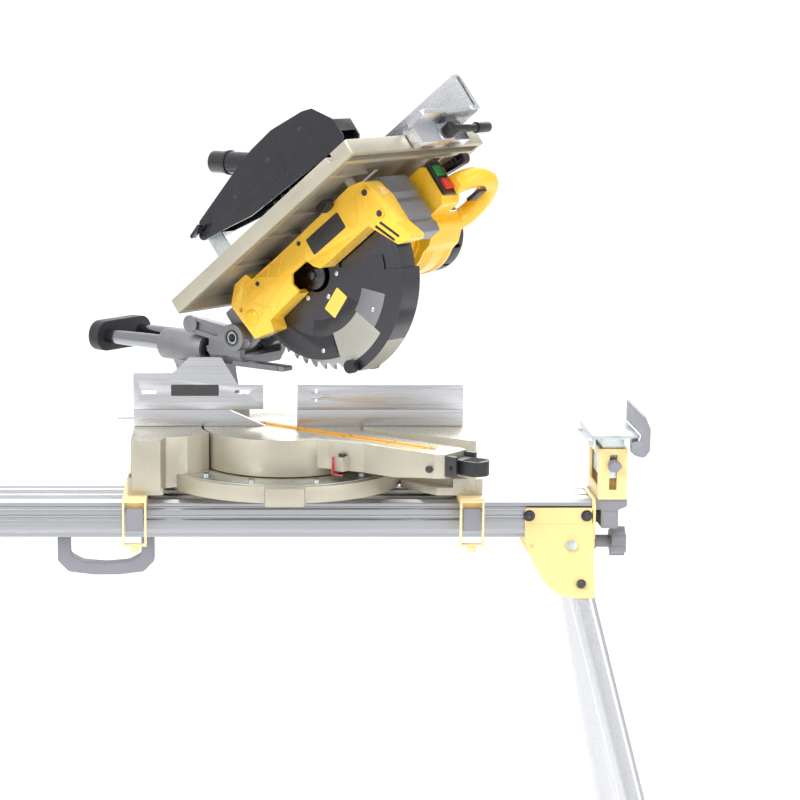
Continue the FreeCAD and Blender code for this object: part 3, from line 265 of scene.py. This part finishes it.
def cast(name, colour, rough, metallic=0.75, grain=700):
    """Blasted or painted casting: a sandy surface with soft stains."""
    nodes = Nodes(name)
    tinted(nodes, colour, 12, 0.07, shade(colour, 1.35), 0.6)
    nodes.link(nodes.spread(nodes.noise(90, 4), rough - 0.06, rough + 0.1), nodes.shader.inputs["Roughness"])
    sand = nodes.bump(nodes.noise(grain, 4), 0.4, 0.0004)
    nodes.link(nodes.bump(nodes.noise(30, 2), 0.15, 0.001, sand), nodes.shader.inputs["Normal"])
    nodes.set(metallic=metallic)
    return nodes.material


HEAD_T = turn_frame.to_3x3() @ Vector((0, 1, 0))
BLADE_CENTRE = head_frame @ (Vector((BLADE_U, 0, BLADE_W)) * MM)
ALONG_X = (3, 900, 900)


def make_materials():
    made = {
        "beam_aluminium": brushed("beam_aluminium", (0.40, 0.41, 0.43), 0.34, ALONG_X),
        "stand_yellow": painted("stand_yellow", (0.90, 0.66, 0.27), 0.42, edge=(0.95, 0.86, 0.64)),
        "stand_grey_plastic": moulded("stand_grey_plastic", (0.24, 0.24, 0.27), 0.48,
                                      edge=(0.34, 0.34, 0.37)),
        "leg_aluminium": brushed("leg_aluminium", (0.60, 0.61, 0.63), 0.36, (700, 700, 4)),
        "zinc_steel": brushed("zinc_steel", (0.60, 0.65, 0.65), 0.34, (60, 60, 60), contrast=0.14),
        "bolt_black": painted("bolt_black", (0.035, 0.035, 0.04), 0.38, 0.6, edge=(0.2, 0.2, 0.2)),
        "champagne_casting": cast("champagne_casting", (0.47, 0.44, 0.36), 0.40, 0.65),
        "bare_aluminium": brushed("bare_aluminium", (0.62, 0.63, 0.66), 0.28, ALONG_X, contrast=0.07),
        "grey_casting": cast("grey_casting", (0.26, 0.26, 0.28), 0.42, 0.8),
        "black_plastic": moulded("black_plastic", (0.014, 0.014, 0.017), 0.40, edge=(0.04, 0.04, 0.04)),
        "gloss_black": moulded("gloss_black", (0.008, 0.008, 0.013), 0.24, strength=0.06, coat=0.5),
        "saw_yellow": moulded("saw_yellow", (0.94, 0.53, 0.012), 0.30, strength=0.18, coat=0.45,
                              contrast=0.04, edge=(1.0, 0.70, 0.16)),
        "kerf_yellow": moulded("kerf_yellow", (0.82, 0.40, 0.02), 0.45, contrast=0.09),
        "dark_steel": spun("dark_steel", BLADE_CENTRE, HEAD_T, (0.10, 0.10, 0.11), 0.22, 2400, groove=0.0004),
        "blade_steel": spun("blade_steel", BLADE_CENTRE, HEAD_T, (0.55, 0.55, 0.57), 0.26, 4200),
        "chrome_steel": brushed("chrome_steel", (0.34, 0.35, 0.37), 0.14, (500, 500, 500), contrast=0.05),
        "belt_rubber": moulded("belt_rubber", (0.02, 0.02, 0.02), 0.6),
        "button_green": moulded("button_green", (0.015, 0.22, 0.045), 0.3, coat=0.4),
        "button_red": moulded("button_red", (0.62, 0.02, 0.015), 0.3, coat=0.4),
        "pointer_red": painted("pointer_red", (0.55, 0.015, 0.015), 0.35),
        "copper_rotor": brushed("copper_rotor", (0.55, 0.26, 0.12), 0.35, (400, 400, 400)),
        "rubber_foot": moulded("rubber_foot", (0.17, 0.17, 0.18), 0.62, edge=(0.30, 0.30, 0.30)),
        "grip_rubber": moulded("grip_rubber", (0.016, 0.016, 0.017), 0.66, grain=1500, depth=0.0003),
        "machined_top": brushed("machined_top", (0.56, 0.53, 0.45), 0.30, (260, 260, 260), 0.85, 0.09),
        "guard_casting": cast("guard_casting", (0.40, 0.39, 0.35), 0.42, 0.4, 900),
        "label_yellow": painted("label_yellow", (0.90, 0.56, 0.03), 0.35, coat=0.5, edge=(0.9, 0.7, 0.3)),
        "label_black": painted("label_black", (0.02, 0.02, 0.022), 0.3, coat=0.6, edge=(0.05, 0.05, 0.05)),
        "carbide": cast("carbide", (0.30, 0.29, 0.27), 0.3, 0.9, 2000),
    }
    return made


# ---------------------------------------------------------------- pieces

def finish_piece(name, mesh, material, body):
    """Link a mesh as a named piece of a body, with its material."""
    piece = bpy.data.objects.new(name, mesh)
    scene.collection.objects.link(piece)
    if isinstance(material, str):
        material = MATERIALS[material]
    if material is not None:
        mesh.materials.clear()
        mesh.materials.append(material)
    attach(piece, body)
    return piece


def smooth_by_angle(bm, degrees=32):
    limit = math.radians(degrees)
    for face in bm.faces:
        face.smooth = True
    for edge in bm.edges:
        edge.smooth = edge.calc_face_angle(0) < limit


def softened(node, width, segments=2, angle=28, regions=()):
    """A copy of a CAD node with its sharp edges rounded; regions repaint faces that pass a test."""
    source = frame["nodes"][node]
    bm = bmesh.new()
    bm.from_mesh(source.data)
    bmesh.ops.remove_doubles(bm, verts=bm.verts, dist=1e-6)
    bmesh.ops.dissolve_limit(bm, angle_limit=math.radians(0.6), verts=bm.verts, edges=bm.edges)
    sharp = [e for e in bm.edges if e.is_manifold and e.calc_face_angle(0) > math.radians(angle)]
    bmesh.ops.bevel(bm, geom=sharp, offset=width, segments=segments, profile=0.6, affect="EDGES",
                    clamp_overlap=True)
    smooth_by_angle(bm)
    mesh = bpy.data.meshes.new(f"{node}_look")
    bm.to_mesh(mesh)
    bm.free()
    mesh.materials.clear()
    mesh.materials.append(MATERIALS[slot_of[node]])
    for index, (material, test) in enumerate(regions, 1):
        mesh.materials.append(MATERIALS[material])
        for face in mesh.polygons:
            if test(face.center, face.normal):
                face.material_index = index
    piece = finish_piece(f"{node}_look", mesh, None, body_of[node])
    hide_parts(node)
    return piece


def lathe(bm, place, profile, steps=32):
    """Add a turned solid to bm: profile points are (radius, height) in mm, along place's Z."""
    rings = []
    for radius, height in profile:
        ring = [bm.verts.new(place @ (Vector((radius * math.cos(a), radius * math.sin(a), height)) * MM))
                for a in (2 * math.pi * i / steps for i in range(steps))]
        rings.append(ring)
    for low, high in zip(rings, rings[1:]):
        for i in range(steps):
            j = (i + 1) % steps
            bm.faces.new((low[i], low[j], high[j], high[i]))
    bm.faces.new(list(reversed(rings[0])))
    bm.faces.new(rings[-1])


def prism(bm, place, outline, low, high):
    """Add an extruded outline to bm: outline points are (x, y) in mm in place's XY plane."""
    bottom = [bm.verts.new(place @ (Vector((x, y, low)) * MM)) for x, y in outline]
    top = [bm.verts.new(place @ (Vector((x, y, high)) * MM)) for x, y in outline]
    bm.faces.new(list(reversed(bottom)))
    bm.faces.new(top)
    for i in range(len(outline)):
        j = (i + 1) % len(outline)
        bm.faces.new((bottom[i], bottom[j], top[j], top[i]))


def block(bm, place, x, y, z):
    prism(bm, place, [(x[0], y[0]), (x[1], y[0]), (x[1], y[1]), (x[0], y[1])], z[0], z[1])


def rounded(x, y, radius, steps=5):
    """A rectangle's outline with round corners."""
    points = []
    corners = ((x[1] - radius, y[1] - radius, 0), (x[0] + radius, y[1] - radius, 90),
               (x[0] + radius, y[0] + radius, 180), (x[1] - radius, y[0] + radius, 270))
    for cx, cy, start in corners:
        for i in range(steps + 1):
            a = math.radians(start + 90 * i / steps)
            points.append((cx + radius * math.cos(a), cy + radius * math.sin(a)))
    return points


def sector(inner, outer, start, end, steps=24):
    """Outline of a ring's sector between two angles in degrees."""
    angles = [math.radians(start + (end - start) * i / steps) for i in range(steps + 1)]
    return ([(outer * math.cos(a), outer * math.sin(a)) for a in angles]
            + [(inner * math.cos(a), inner * math.sin(a)) for a in reversed(angles)])


def bar(bm, place, start, end, width, height):
    """A straight rib of a width and height (mm) between two points of place's XY plane."""
    along = (Vector(end) - Vector(start)).normalized()
    side = Vector((-along.y, along.x)) * width / 2
    outline = [Vector(start) - side, Vector(end) - side, Vector(end) + side, Vector(start) + side]
    prism(bm, place, [tuple(point) for point in outline], -0.1, height)


def facing(base, origin, normal):
    """A frame inside base at origin (mm) whose Z points along normal."""
    z = Vector(normal).normalized()
    guide = Vector((0, 0, 1)) if abs(z.z) < 0.9 else Vector((1, 0, 0))
    x = guide.cross(z).normalized()
    y = z.cross(x)
    turn = Matrix((x, y, z)).transposed().to_4x4()
    return base @ Matrix.Translation(Vector(origin) * MM) @ turn


def socket_screw(bm, place, radius, height, socket=0.5):
    """Cap screw with a hexagon socket, standing on place's XY plane."""
    chamfer = radius * 0.14
    lathe(bm, place, [(radius, 0), (radius, height - chamfer), (radius - chamfer, height),
                      (radius * socket * 1.12, height)], 28)
    corners = [math.radians(60 * i) for i in range(6)]
    hexagon = [(radius * socket * math.cos(a), radius * socket * math.sin(a)) for a in corners]
    prism(bm, place, hexagon, height - 0.2, height + 0.05)


def cross_screw(bm, place, radius, height):
    """Pan-head screw with a raised rim round a cross recess."""
    lathe(bm, place, [(radius, 0), (radius, height * 0.5), (radius * 0.85, height * 0.85),
                      (radius * 0.55, height)], 28)
    for angle in (0, 90):
        turned = place @ Matrix.Rotation(math.radians(angle), 4, "Z")
        block(bm, turned, (-radius * 0.5, radius * 0.5), (-radius * 0.1, radius * 0.1),
              (height, height + 0.25))


def mesh_piece(name, build, material, body, soften=0.0, smooth=35):
    """Run build(bm), round its edges, and link the result."""
    bm = bmesh.new()
    build(bm)
    bmesh.ops.recalc_face_normals(bm, faces=bm.faces)
    if soften:
        sharp = [e for e in bm.edges if e.is_manifold and e.calc_face_angle(0) > math.radians(40)]
        bmesh.ops.bevel(bm, geom=sharp, offset=soften * MM, segments=2, profile=0.6, affect="EDGES",
                        clamp_overlap=True)
    smooth_by_angle(bm, smooth)
    mesh = bpy.data.meshes.new(name)
    bm.to_mesh(mesh)
    bm.free()
    return finish_piece(name, mesh, material, body)


# ---------------------------------------------------------------- stand

def mirrored(end):
    """Frame of the stand's right (1) or left (-1) end."""
    return row_frame if end > 0 else Matrix.Rotation(math.pi, 4, "Z")


SIDES = ((1, "right"), (-1, "left"))


def dress_stand():
    softened("main_beam", 0.0006, 1, 40)
    softened("carry_handle", 0.0035, 3)
    for end, side in SIDES:
        softened(f"leg_bracket_{side}", 0.0007, 2)
        softened(f"extension_arm_{side}", 0.0015, 2)
        softened(f"support_post_{side}", 0.0008, 2)
        softened(f"support_plate_{side}", 0.0007, 2)
        softened(f"swing_stop_{side}", 0.0012, 2)
        softened(f"arm_lock_knob_{side}", 0.0018, 3)
        softened(f"height_knob_{side}", 0.001, 2)
        softened(f"bracket_lever_{side}", 0.0009, 2)
        for face in ("front", "rear"):
            softened(f"leg_{face}_{side}", 0.0008, 2, regions=[("rubber_foot", is_foot),
                                                               ("zinc_steel", is_pivot_head)])
        stand_end_details(end, side)
    softened("saw_brackets", 0.0006, 2, regions=[("bolt_black", is_foot_bolt)])
    beam_details()


FOOT_TOP = 0.0417
HOOK_TOP = 0.8255


def is_foot(centre, normal):
    return centre.z < FOOT_TOP and abs(centre.x) > 0.8


def is_pivot_head(centre, normal):
    reach = math.hypot(abs(centre.x) - LEG_PIVOT_X * MM, centre.z - LEG_PIVOT_Z * MM)
    return reach < 0.012 and abs(centre.y) > 0.068


def is_foot_bolt(centre, normal):
    return centre.z > HOOK_TOP


def beam_details():
    """Socket bolts and blank labels of the leg brackets."""
    def bolts(bm):
        for end in (-1, 1):
            for face in (-1, 1):
                for x in (664, 754):
                    place = facing(row_frame, (end * x, BRACKET_FACE * face, 788), (0, face, 0))
                    lathe(bm, place, [(9, 0.1), (9, 1.2), (8.6, 1.5)], 28)
                    socket_screw(bm, place, 6.6, 6.6)
    mesh_piece("bracket_socket_bolts", bolts, "bolt_black", "stand_frame")

    def labels(bm):
        for end in (-1, 1):
            for face in (-1, 1):
                place = facing(row_frame, (end * 706, BRACKET_FACE * face, 763), (0, face, 0))
                prism(bm, place, rounded((-42, 42), (-12, 12), 2), -0.1, 0.3)
    mesh_piece("bracket_labels", labels, "label_black", "stand_frame")


def stand_end_details(end, side):
    """Ribs of the end block, the lock knob's cap and the support's screws."""
    base = mirrored(end)

    def ribs(bm):
        for y in (-40, -24, -8, 8, 24, 40):
            block(bm, base, (818, 819.2), (y - 2, y + 2), (801.5, 812))
        for y in ((-48.8, -46), (46, 48.8)):
            block(bm, base, (780, 803), y, (768, 792))
    mesh_piece(f"arm_block_ribs_{side}", ribs, "stand_grey_plastic",
               f"extension_{side}", 0.4)

    def knob_cap(bm):
        place = facing(base, (823.4, 0, LEG_PIVOT_Z - 2), (1, 0, 0))
        lathe(bm, place, [(13, -0.5), (13, 0.6), (11.5, 1.4), (8, 1.6), (7.4, 1.0)], 40)
        socket_screw(bm, place, 4.2, 2.2)
    mesh_piece(f"knob_cap_{side}", knob_cap, "bolt_black", f"arm_lock_knob_{side}")

    def post_screws(bm):
        for x in (SUPPORT_X - 10, SUPPORT_X + 10):
            cross_screw(bm, facing(base, (x, 62, SUPPORT_TOP - 2), (0, 1, 0)), 2.4, 1)
        for y in (-40, 36):
            cross_screw(bm, facing(base, (SUPPORT_X, y, SUPPORT_TOP), (0, 0, 1)), 4.2, 0.5)
    mesh_piece(f"support_screws_{side}", post_screws, "zinc_steel", f"support_{side}")


# ---------------------------------------------------------------- saw base

def is_table_top(centre, normal):
    return normal.z > 0.95 and abs(centre.z - TABLE_TOP) < 0.0004


def dress_base():
    softened("base_casting", 0.0012, 2, 35, regions=[("machined_top", is_table_top)])
    softened("turntable", 0.0010, 2, 35, regions=[("machined_top", is_table_top)])
    softened("kerf_plates", 0.0006, 2)
    softened("turntable_fittings", 0.0006, 2, regions=[("bolt_black", is_not_pointer)])
    softened("mitre_handle", 0.0035, 3)
    softened("bevel_lever", 0.0016, 2)
    softened("fixed_fence", 0.0006, 2)
    softened("left_sliding_fence", 0.0006, 2)
    softened("right_sliding_fence", 0.0006, 2)
    scale_ticks()
    fence_details()
    turntable_details()


def is_not_pointer(centre, normal):
    local = turn_frame.inverted() @ centre
    return not (0.146 < local.x < 0.1665 and local.y < -0.0575)


def scale_ticks():
    """Degree lines standing a hair above the mitre scale plate."""
    def ticks(bm):
        for degrees in range(-47, 48):
            angle = math.radians(degrees - 90)
            length = 13 if degrees % 15 == 0 else (9 if degrees % 5 == 0 else 6)
            place = saw_frame @ Matrix.Rotation(angle, 4, "Z")
            block(bm, place, (177 - length, 177), (-0.22, 0.22), (-58.8, -58.65))
    mesh_piece("mitre_scale_ticks", ticks, "bolt_black", "saw_base")

    def screws(bm):
        for degrees in (-138, -108, -72, -42):
            spot = (162 * math.cos(math.radians(degrees)), 162 * math.sin(math.radians(degrees)), -54.3)
            cross_screw(bm, facing(saw_frame, spot, (0, 0, 1)), 4.9, 0.6)
    mesh_piece("mitre_scale_screws", screws, "bolt_black", "saw_base")


def fence_details():
    """Extrusion ridges, the clamp knob and a blank label on the fences."""
    def knobs(bm):
        place = facing(saw_frame, (-190, 10.2, 14), (0, 1, 0))
        lathe(bm, place, [(12, 0.2), (12, 9), (10.5, 11), (5, 11.4)], 24)
    mesh_piece("fence_clamp_knob", knobs, "black_plastic", "saw_base", 0.5)

    def left_ridges(bm):
        for w in (33, 38):
            block(bm, saw_frame, (-236, -31), (-0.35, 0.1), (w, w + 1.6))
    mesh_piece("left_fence_ridges", left_ridges, "bare_aluminium", "left_fence", 0.2)

    def blank_label(bm):
        place = facing(saw_frame, (-139, 0, 58), (0, -1, 0))
        prism(bm, place, rounded((-38, 38), (-9, 9), 2), -0.1, 0.3)
    mesh_piece("left_fence_label", blank_label, "label_black", "left_fence")

    def right_ridges(bm):
        for w in (31, 35, 62):
            block(bm, saw_frame, (25, 287), (-0.35, 0.1), (w, w + 1.6))
    mesh_piece("right_fence_ridges", right_ridges, "bare_aluminium", "right_fence", 0.2)


def turntable_details():
    """Screws along the kerf plates and ribs on the mitre handle."""
    def screws(bm):
        for u in (-44, 40, 130, 215, 283):
            for t in (-9.5, 9.5):
                cross_screw(bm, facing(turn_frame, (u, t, -0.1), (0, 0, 1)), 2.6, 0.35)
    mesh_piece("kerf_plate_screws", screws, "bolt_black", "turntable")

    def grip(bm):
        for i in range(5):
            u = 358 + 5.5 * i
            half = 15 - 0.5 * abs(i - 2)
            block(bm, turn_frame, (u, u + 2.2), (-half, half), (-8.1, -7.1))
    mesh_piece("mitre_handle_ribs", grip, "grip_rubber", "mitre_handle", 0.4)


# ---------------------------------------------------------------- head carriage

def dress_carriage():
    softened("bevel_housing", 0.0022, 2, 30)
    softened("head_yoke", 0.0018, 2, 30)
    softened("slide_rails", 0.0010, 2, 35, regions=[("black_plastic", is_rail_cap)])
    softened("head_pivot_pin", 0.0006, 2)

    def seals(bm):
        for t in RAIL_SIDES:
            for u, way in ((-119, 1), (-209, -1)):
                place = facing(turn_frame, (u, t, RAIL_HEIGHT), (way, 0, 0))
                outer, inner = 19, 12.6
                rings = [(outer, 0), (outer, 2.2), (inner + 1.2, 3.0), (inner, 2.4), (inner, 0)]
                tube_ring(bm, place, rings)
    mesh_piece("rail_wiper_seals", seals, "black_plastic", "bevel")

    def cap_screws(bm):
        for t in RAIL_SIDES:
            socket_screw(bm, facing(turn_frame, (RAIL_REAR, t, RAIL_HEIGHT), (-1, 0, 0)), 7, 3)
    mesh_piece("rail_cap_screws", cap_screws, "bolt_black", "carriage")

    def circlip(bm):
        place = facing(turn_frame, (PIVOT_U, -68, PIVOT_W), (0, -1, 0))
        tube_ring(bm, place, [(13, 0), (13, 1.4), (9.95, 1.4), (9.95, 0)])
    mesh_piece("pivot_circlip", circlip, "bolt_black", "carriage")


def is_rail_cap(centre, normal):
    return (turn_frame.inverted() @ centre).x < -0.3385


def tube_ring(bm, place, profile, steps=40):
    """A closed ring of revolution about place's Z from (radius, height) points."""
    rings = []
    for i in range(steps):
        a = 2 * math.pi * i / steps
        rings.append([bm.verts.new(place @ (Vector((r * math.cos(a), r * math.sin(a), h)) * MM))
                      for r, h in profile])
    count = len(profile)
    for i in range(steps):
        here, there = rings[i], rings[(i + 1) % steps]
        for k in range(count):
            n = (k + 1) % count
            bm.faces.new((here[k], there[k], there[n], here[n]))


# ---------------------------------------------------------------- saw head

def dress_head():
    softened("arm_cover", 0.0030, 3, 30)
    softened("gear_case", 0.0016, 2, 32)
    softened("upper_guard", 0.0008, 2, 35)
    softened("lower_guard", 0.0005, 1, 40, regions=[("guard_casting", is_rim_casting),
                                                    ("black_plastic", is_roller)])
    softened("motor_housing", 0.0020, 3, 32)
    softened("motor_end_cap", 0.0020, 2, 32)
    softened("front_handle", 0.0024, 3, 34)
    softened("switch_plate", 0.0012, 2)
    softened("start_button", 0.0018, 3)
    softened("stop_button", 0.0024, 3)
    softened("guard_release_lever", 0.0010, 2)
    softened("riving_knife", 0.0003, 1)
    softened("arbor", 0.0006, 2, regions=[("gloss_black", is_outer_flange)])
    carbide_tips()
    cover_details()
    guard_details()
    motor_details()


def head_local(centre):
    """A point in the head's frame, in millimetres."""
    return head_frame.inverted() @ centre / MM


def blade_reach(place):
    return math.hypot(place.x - BLADE_U, place.z - BLADE_W)


LIGHT_SECTOR = (-106, -70)
DARK_SECTOR = (-70, -46)


def is_rim_casting(centre, normal):
    place = head_local(centre)
    degrees = math.degrees(math.atan2(place.z - BLADE_W, place.x - BLADE_U))
    return blade_reach(place) > 133 and LIGHT_SECTOR[0] < degrees < LIGHT_SECTOR[1]


def is_outer_flange(centre, normal):
    place = head_local(centre)
    return place.y < GUARD_FACE - 1 and blade_reach(place) > 9


def is_roller(centre, normal):
    place = head_local(centre)
    return math.hypot(place.x - 100, place.z + 6) < 11.5 and (place.y < -27.2 or place.y > 17.8)


def carbide_tips():
    """Brazed tips on the blade's teeth."""
    teeth = 48

    def tips(bm):
        for i in range(teeth):
            angle = 2 * math.pi * i / teeth
            place = facing(head_frame, (BLADE_U, 0, BLADE_W), (0, -1, 0))
            turned = place @ Matrix.Rotation(angle, 4, "Z")
            block(bm, turned, (143.5, 149.9), (-1.6, 0.9), (-1.55, 1.55))
    mesh_piece("blade_tips", tips, "carbide", "blade", 0.25)


VENT_PLACES = (284, 294)


def place_on_cover(u, w, depth=COVER_FACE):
    """A frame on the left face of the cover, with X towards the front of the saw."""
    return facing(head_frame, (u, depth, w), (0, -1, 0))


def cover_details():
    """A blank label, ribs, vent floors and screws on the yellow arm cover."""
    def label(bm):
        prism(bm, place_on_cover(203, 172.5), rounded((-38, 38), (-14, 14), 3), 0.45, 0.95)
    mesh_piece("cover_label", label, "label_black", "head")

    def ribs(bm):
        face = place_on_cover(0, 0)
        for u in (34, 66, 98):
            bar(bm, face, (u - 15, 174), (u + 15, 194), 1.6, 0.8)
            bar(bm, face, (u + 15, 174), (u - 15, 194), 1.6, 0.8)
        bar(bm, face, (16, 197), (150, 197), 1.6, 0.8)
        bar(bm, face, (16, 171), (100, 171), 1.6, 0.8)
        bar(bm, face, (20, 140), (44, 165), 1.6, 0.8)
        bar(bm, face, (44, 140), (20, 165), 1.6, 0.8)
        bar(bm, face, (262, 150), (284, 186), 1.6, 0.8)
    mesh_piece("cover_ribs", ribs, "saw_yellow", "head", 0.4)

    def vent_floors(bm):
        for u in VENT_PLACES:
            outline = [(u, 129), (u + 5, 129), (u + 22, 93), (u + 17, 93)]
            prism(bm, place_on_cover(0, 0, -56.4), outline, 0, 4.4)
    mesh_piece("cover_vent_floors", vent_floors, "black_plastic", "head")

    def screws(bm):
        for u, w in ((304, 178), (308, 138)):
            socket_screw(bm, place_on_cover(u, w, -68), 5, 1.6)
        for u, w in ((44, 186), (150, 190)):
            cross_screw(bm, place_on_cover(u, w), 3.8, 1.4)
    mesh_piece("cover_screws", screws, "bolt_black", "head")


def guard_details():
    """Rivets, cast sectors, a black ring and a blank label on the lower guard's disc."""
    def rivets(bm):
        for degrees, reach in ((-150, 40), (-90, 40), (-30, 40), (-120, 118), (-60, 118)):
            u = BLADE_U + reach * math.cos(math.radians(degrees))
            w = BLADE_W + reach * math.sin(math.radians(degrees))
            place = facing(head_frame, (u, GUARD_FACE, w), (0, -1, 0))
            lathe(bm, place, [(4, 0), (4, 0.7), (2.6, 1.5), (0.8, 1.8)], 20)
    mesh_piece("guard_disc_rivets", rivets, "zinc_steel", "lower_guard")

    disc = facing(head_frame, (BLADE_U, GUARD_FACE, BLADE_W), (0, -1, 0))

    def light_casting(bm):
        prism(bm, disc, sector(94, 148, *LIGHT_SECTOR), 0, 1.2)
    mesh_piece("guard_light_casting", light_casting, "guard_casting", "lower_guard", 0.5)

    def dark_casting(bm):
        prism(bm, disc, sector(90, 134, *DARK_SECTOR), 0, 0.8)
    mesh_piece("guard_dark_casting", dark_casting, "grey_casting", "lower_guard", 0.4)

    def black_ring(bm):
        prism(bm, disc, sector(96, 126, -190, LIGHT_SECTOR[0] - 1, 40), 0, 1.0)
        prism(bm, disc, sector(70, 95, -130, -62, 20), 0, 0.5)
    mesh_piece("guard_black_ring", black_ring, "gloss_black", "lower_guard", 0.4)

    def label(bm):
        place = disc @ Matrix.Translation(Vector((7, -56, 0)) * MM)
        turned = place @ Matrix.Rotation(math.radians(18), 4, "Z")
        prism(bm, turned, rounded((-21, 21), (-12, 12), 2), 0.5, 0.8)
    mesh_piece("guard_label", label, "label_yellow", "lower_guard")


def motor_details():
    """Cooling ribs round the motor can and the end cap's grille ring."""
    def ribs(bm):
        for t in (70, 78, 86, 122, 130):
            place = facing(head_frame, (MOTOR_U, t, MOTOR_W), (0, 1, 0))
            tube_ring(bm, place, [(62.0, 0), (63.1, 0.6), (63.1, 2.4), (62.0, 3.0), (61.0, 1.5)], 72)
    mesh_piece("motor_ribs", ribs, "saw_yellow", "head")

    def rings(bm):
        for radius in (20, 29, 38, 47):
            place = facing(head_frame, (MOTOR_U, 166.7, MOTOR_W), (0, 1, 0))
            tube_ring(bm, place, [(radius, 0), (radius, 1.4), (radius - 3, 1.4), (radius - 3, 0)], 60)
    mesh_piece("motor_cap_rings", rings, "black_plastic", "head")


# ---------------------------------------------------------------- bench table

def dress_bench():
    softened("bench_table", 0.0012, 2, 35, regions=[("machined_top", is_bench_top)])
    softened("table_lock_knob", 0.0016, 3)
    softened("top_guard", 0.0030, 3, 30)
    softened("rip_fence", 0.0006, 2)
    softened("fence_clamp_lever", 0.0014, 2)
    softened("push_stick", 0.0016, 2)

    def scale(bm):
        for i in range(31):
            t = 20 + 5 * i
            length = 16 if i % 4 == 0 else 8
            block(bm, head_frame, (380 - length, 380), (t - 0.25, t + 0.25), (BENCH_TOP, BENCH_TOP + 0.12))
    mesh_piece("bench_scale_lines", scale, "bolt_black", "bench")

    def screws(bm):
        for u, w in ((150, 344), (60, 336), (230, 345)):
            cross_screw(bm, place_on_cover(u, w, -22.0), 3.6, 1.2)
    mesh_piece("top_guard_screws", screws, "bolt_black", "top_guard")


def is_bench_top(centre, normal):
    return head_local(centre).z > BENCH_TOP - 0.3


# ---------------------------------------------------------------- studio

def make_studio():
    bm = bmesh.new()
    steps = 24
    profile = [(-6.0, 0.0), (3.2, 0.0)]
    for i in range(1, steps + 1):
        angle = math.pi / 2 * i / steps
        profile.append((3.2 + 2.5 * math.sin(angle), 2.5 - 2.5 * math.cos(angle)))
    profile.append((5.7, 9.0))
    rows = [[bm.verts.new((x, y, z - 0.0075)) for x in (-14, 14)] for y, z in profile]
    for low, high in zip(rows, rows[1:]):
        bm.faces.new((low[0], low[1], high[1], high[0]))
    for face in bm.faces:
        face.smooth = True
    mesh = bpy.data.meshes.new("studio_floor")
    bm.to_mesh(mesh)
    bm.free()
    floor = bpy.data.objects.new("studio_floor", mesh)
    scene.collection.objects.link(floor)
    nodes = Nodes("studio_floor")
    nodes.link(nodes.ramp(nodes.noise(0.6, 2), [(0.3, (0.90, 0.90, 0.90)), (0.7, (0.93, 0.93, 0.93))]),
               nodes.shader.inputs["Base Color"])
    nodes.link(nodes.spread(nodes.noise(4, 3), 0.5, 0.65), nodes.shader.inputs["Roughness"])
    mesh.materials.append(nodes.material)

    lights = (("key", (-2.6, -3.2, 3.6), 2.4, 150), ("fill", (3.4, -3.0, 2.2), 2.8, 50),
              ("top", (0.2, 0.2, 4.4), 3.0, 100), ("back", (1.2, 2.8, 3.0), 2.2, 70))
    for name, spot, size, power in lights:
        data = bpy.data.lights.new(name, "AREA")
        data.shape = "SQUARE"
        data.size = size
        data.energy = power
        lamp = bpy.data.objects.new(name, data)
        lamp.location = spot
        lamp.rotation_euler = (Vector((0.1, 0, 0.8)) - Vector(spot)).to_track_quat("-Z", "Y").to_euler()
        scene.collection.objects.link(lamp)
    world = bpy.data.worlds.new("studio")
    world.use_nodes = True
    world.node_tree.nodes["Background"].inputs["Color"].default_value = (1, 1, 1, 1)
    world.node_tree.nodes["Background"].inputs["Strength"].default_value = 0.8
    scene.world = world


# ---------------------------------------------------------------- build

make_camera()
MATERIALS = make_materials()
for cad_name, cad_object in frame["nodes"].items():
    cad_object.data.materials.clear()
    cad_object.data.materials.append(MATERIALS[slot_of[cad_name]])
dress_stand()
dress_base()
dress_carriage()
dress_head()
dress_bench()
make_studio()
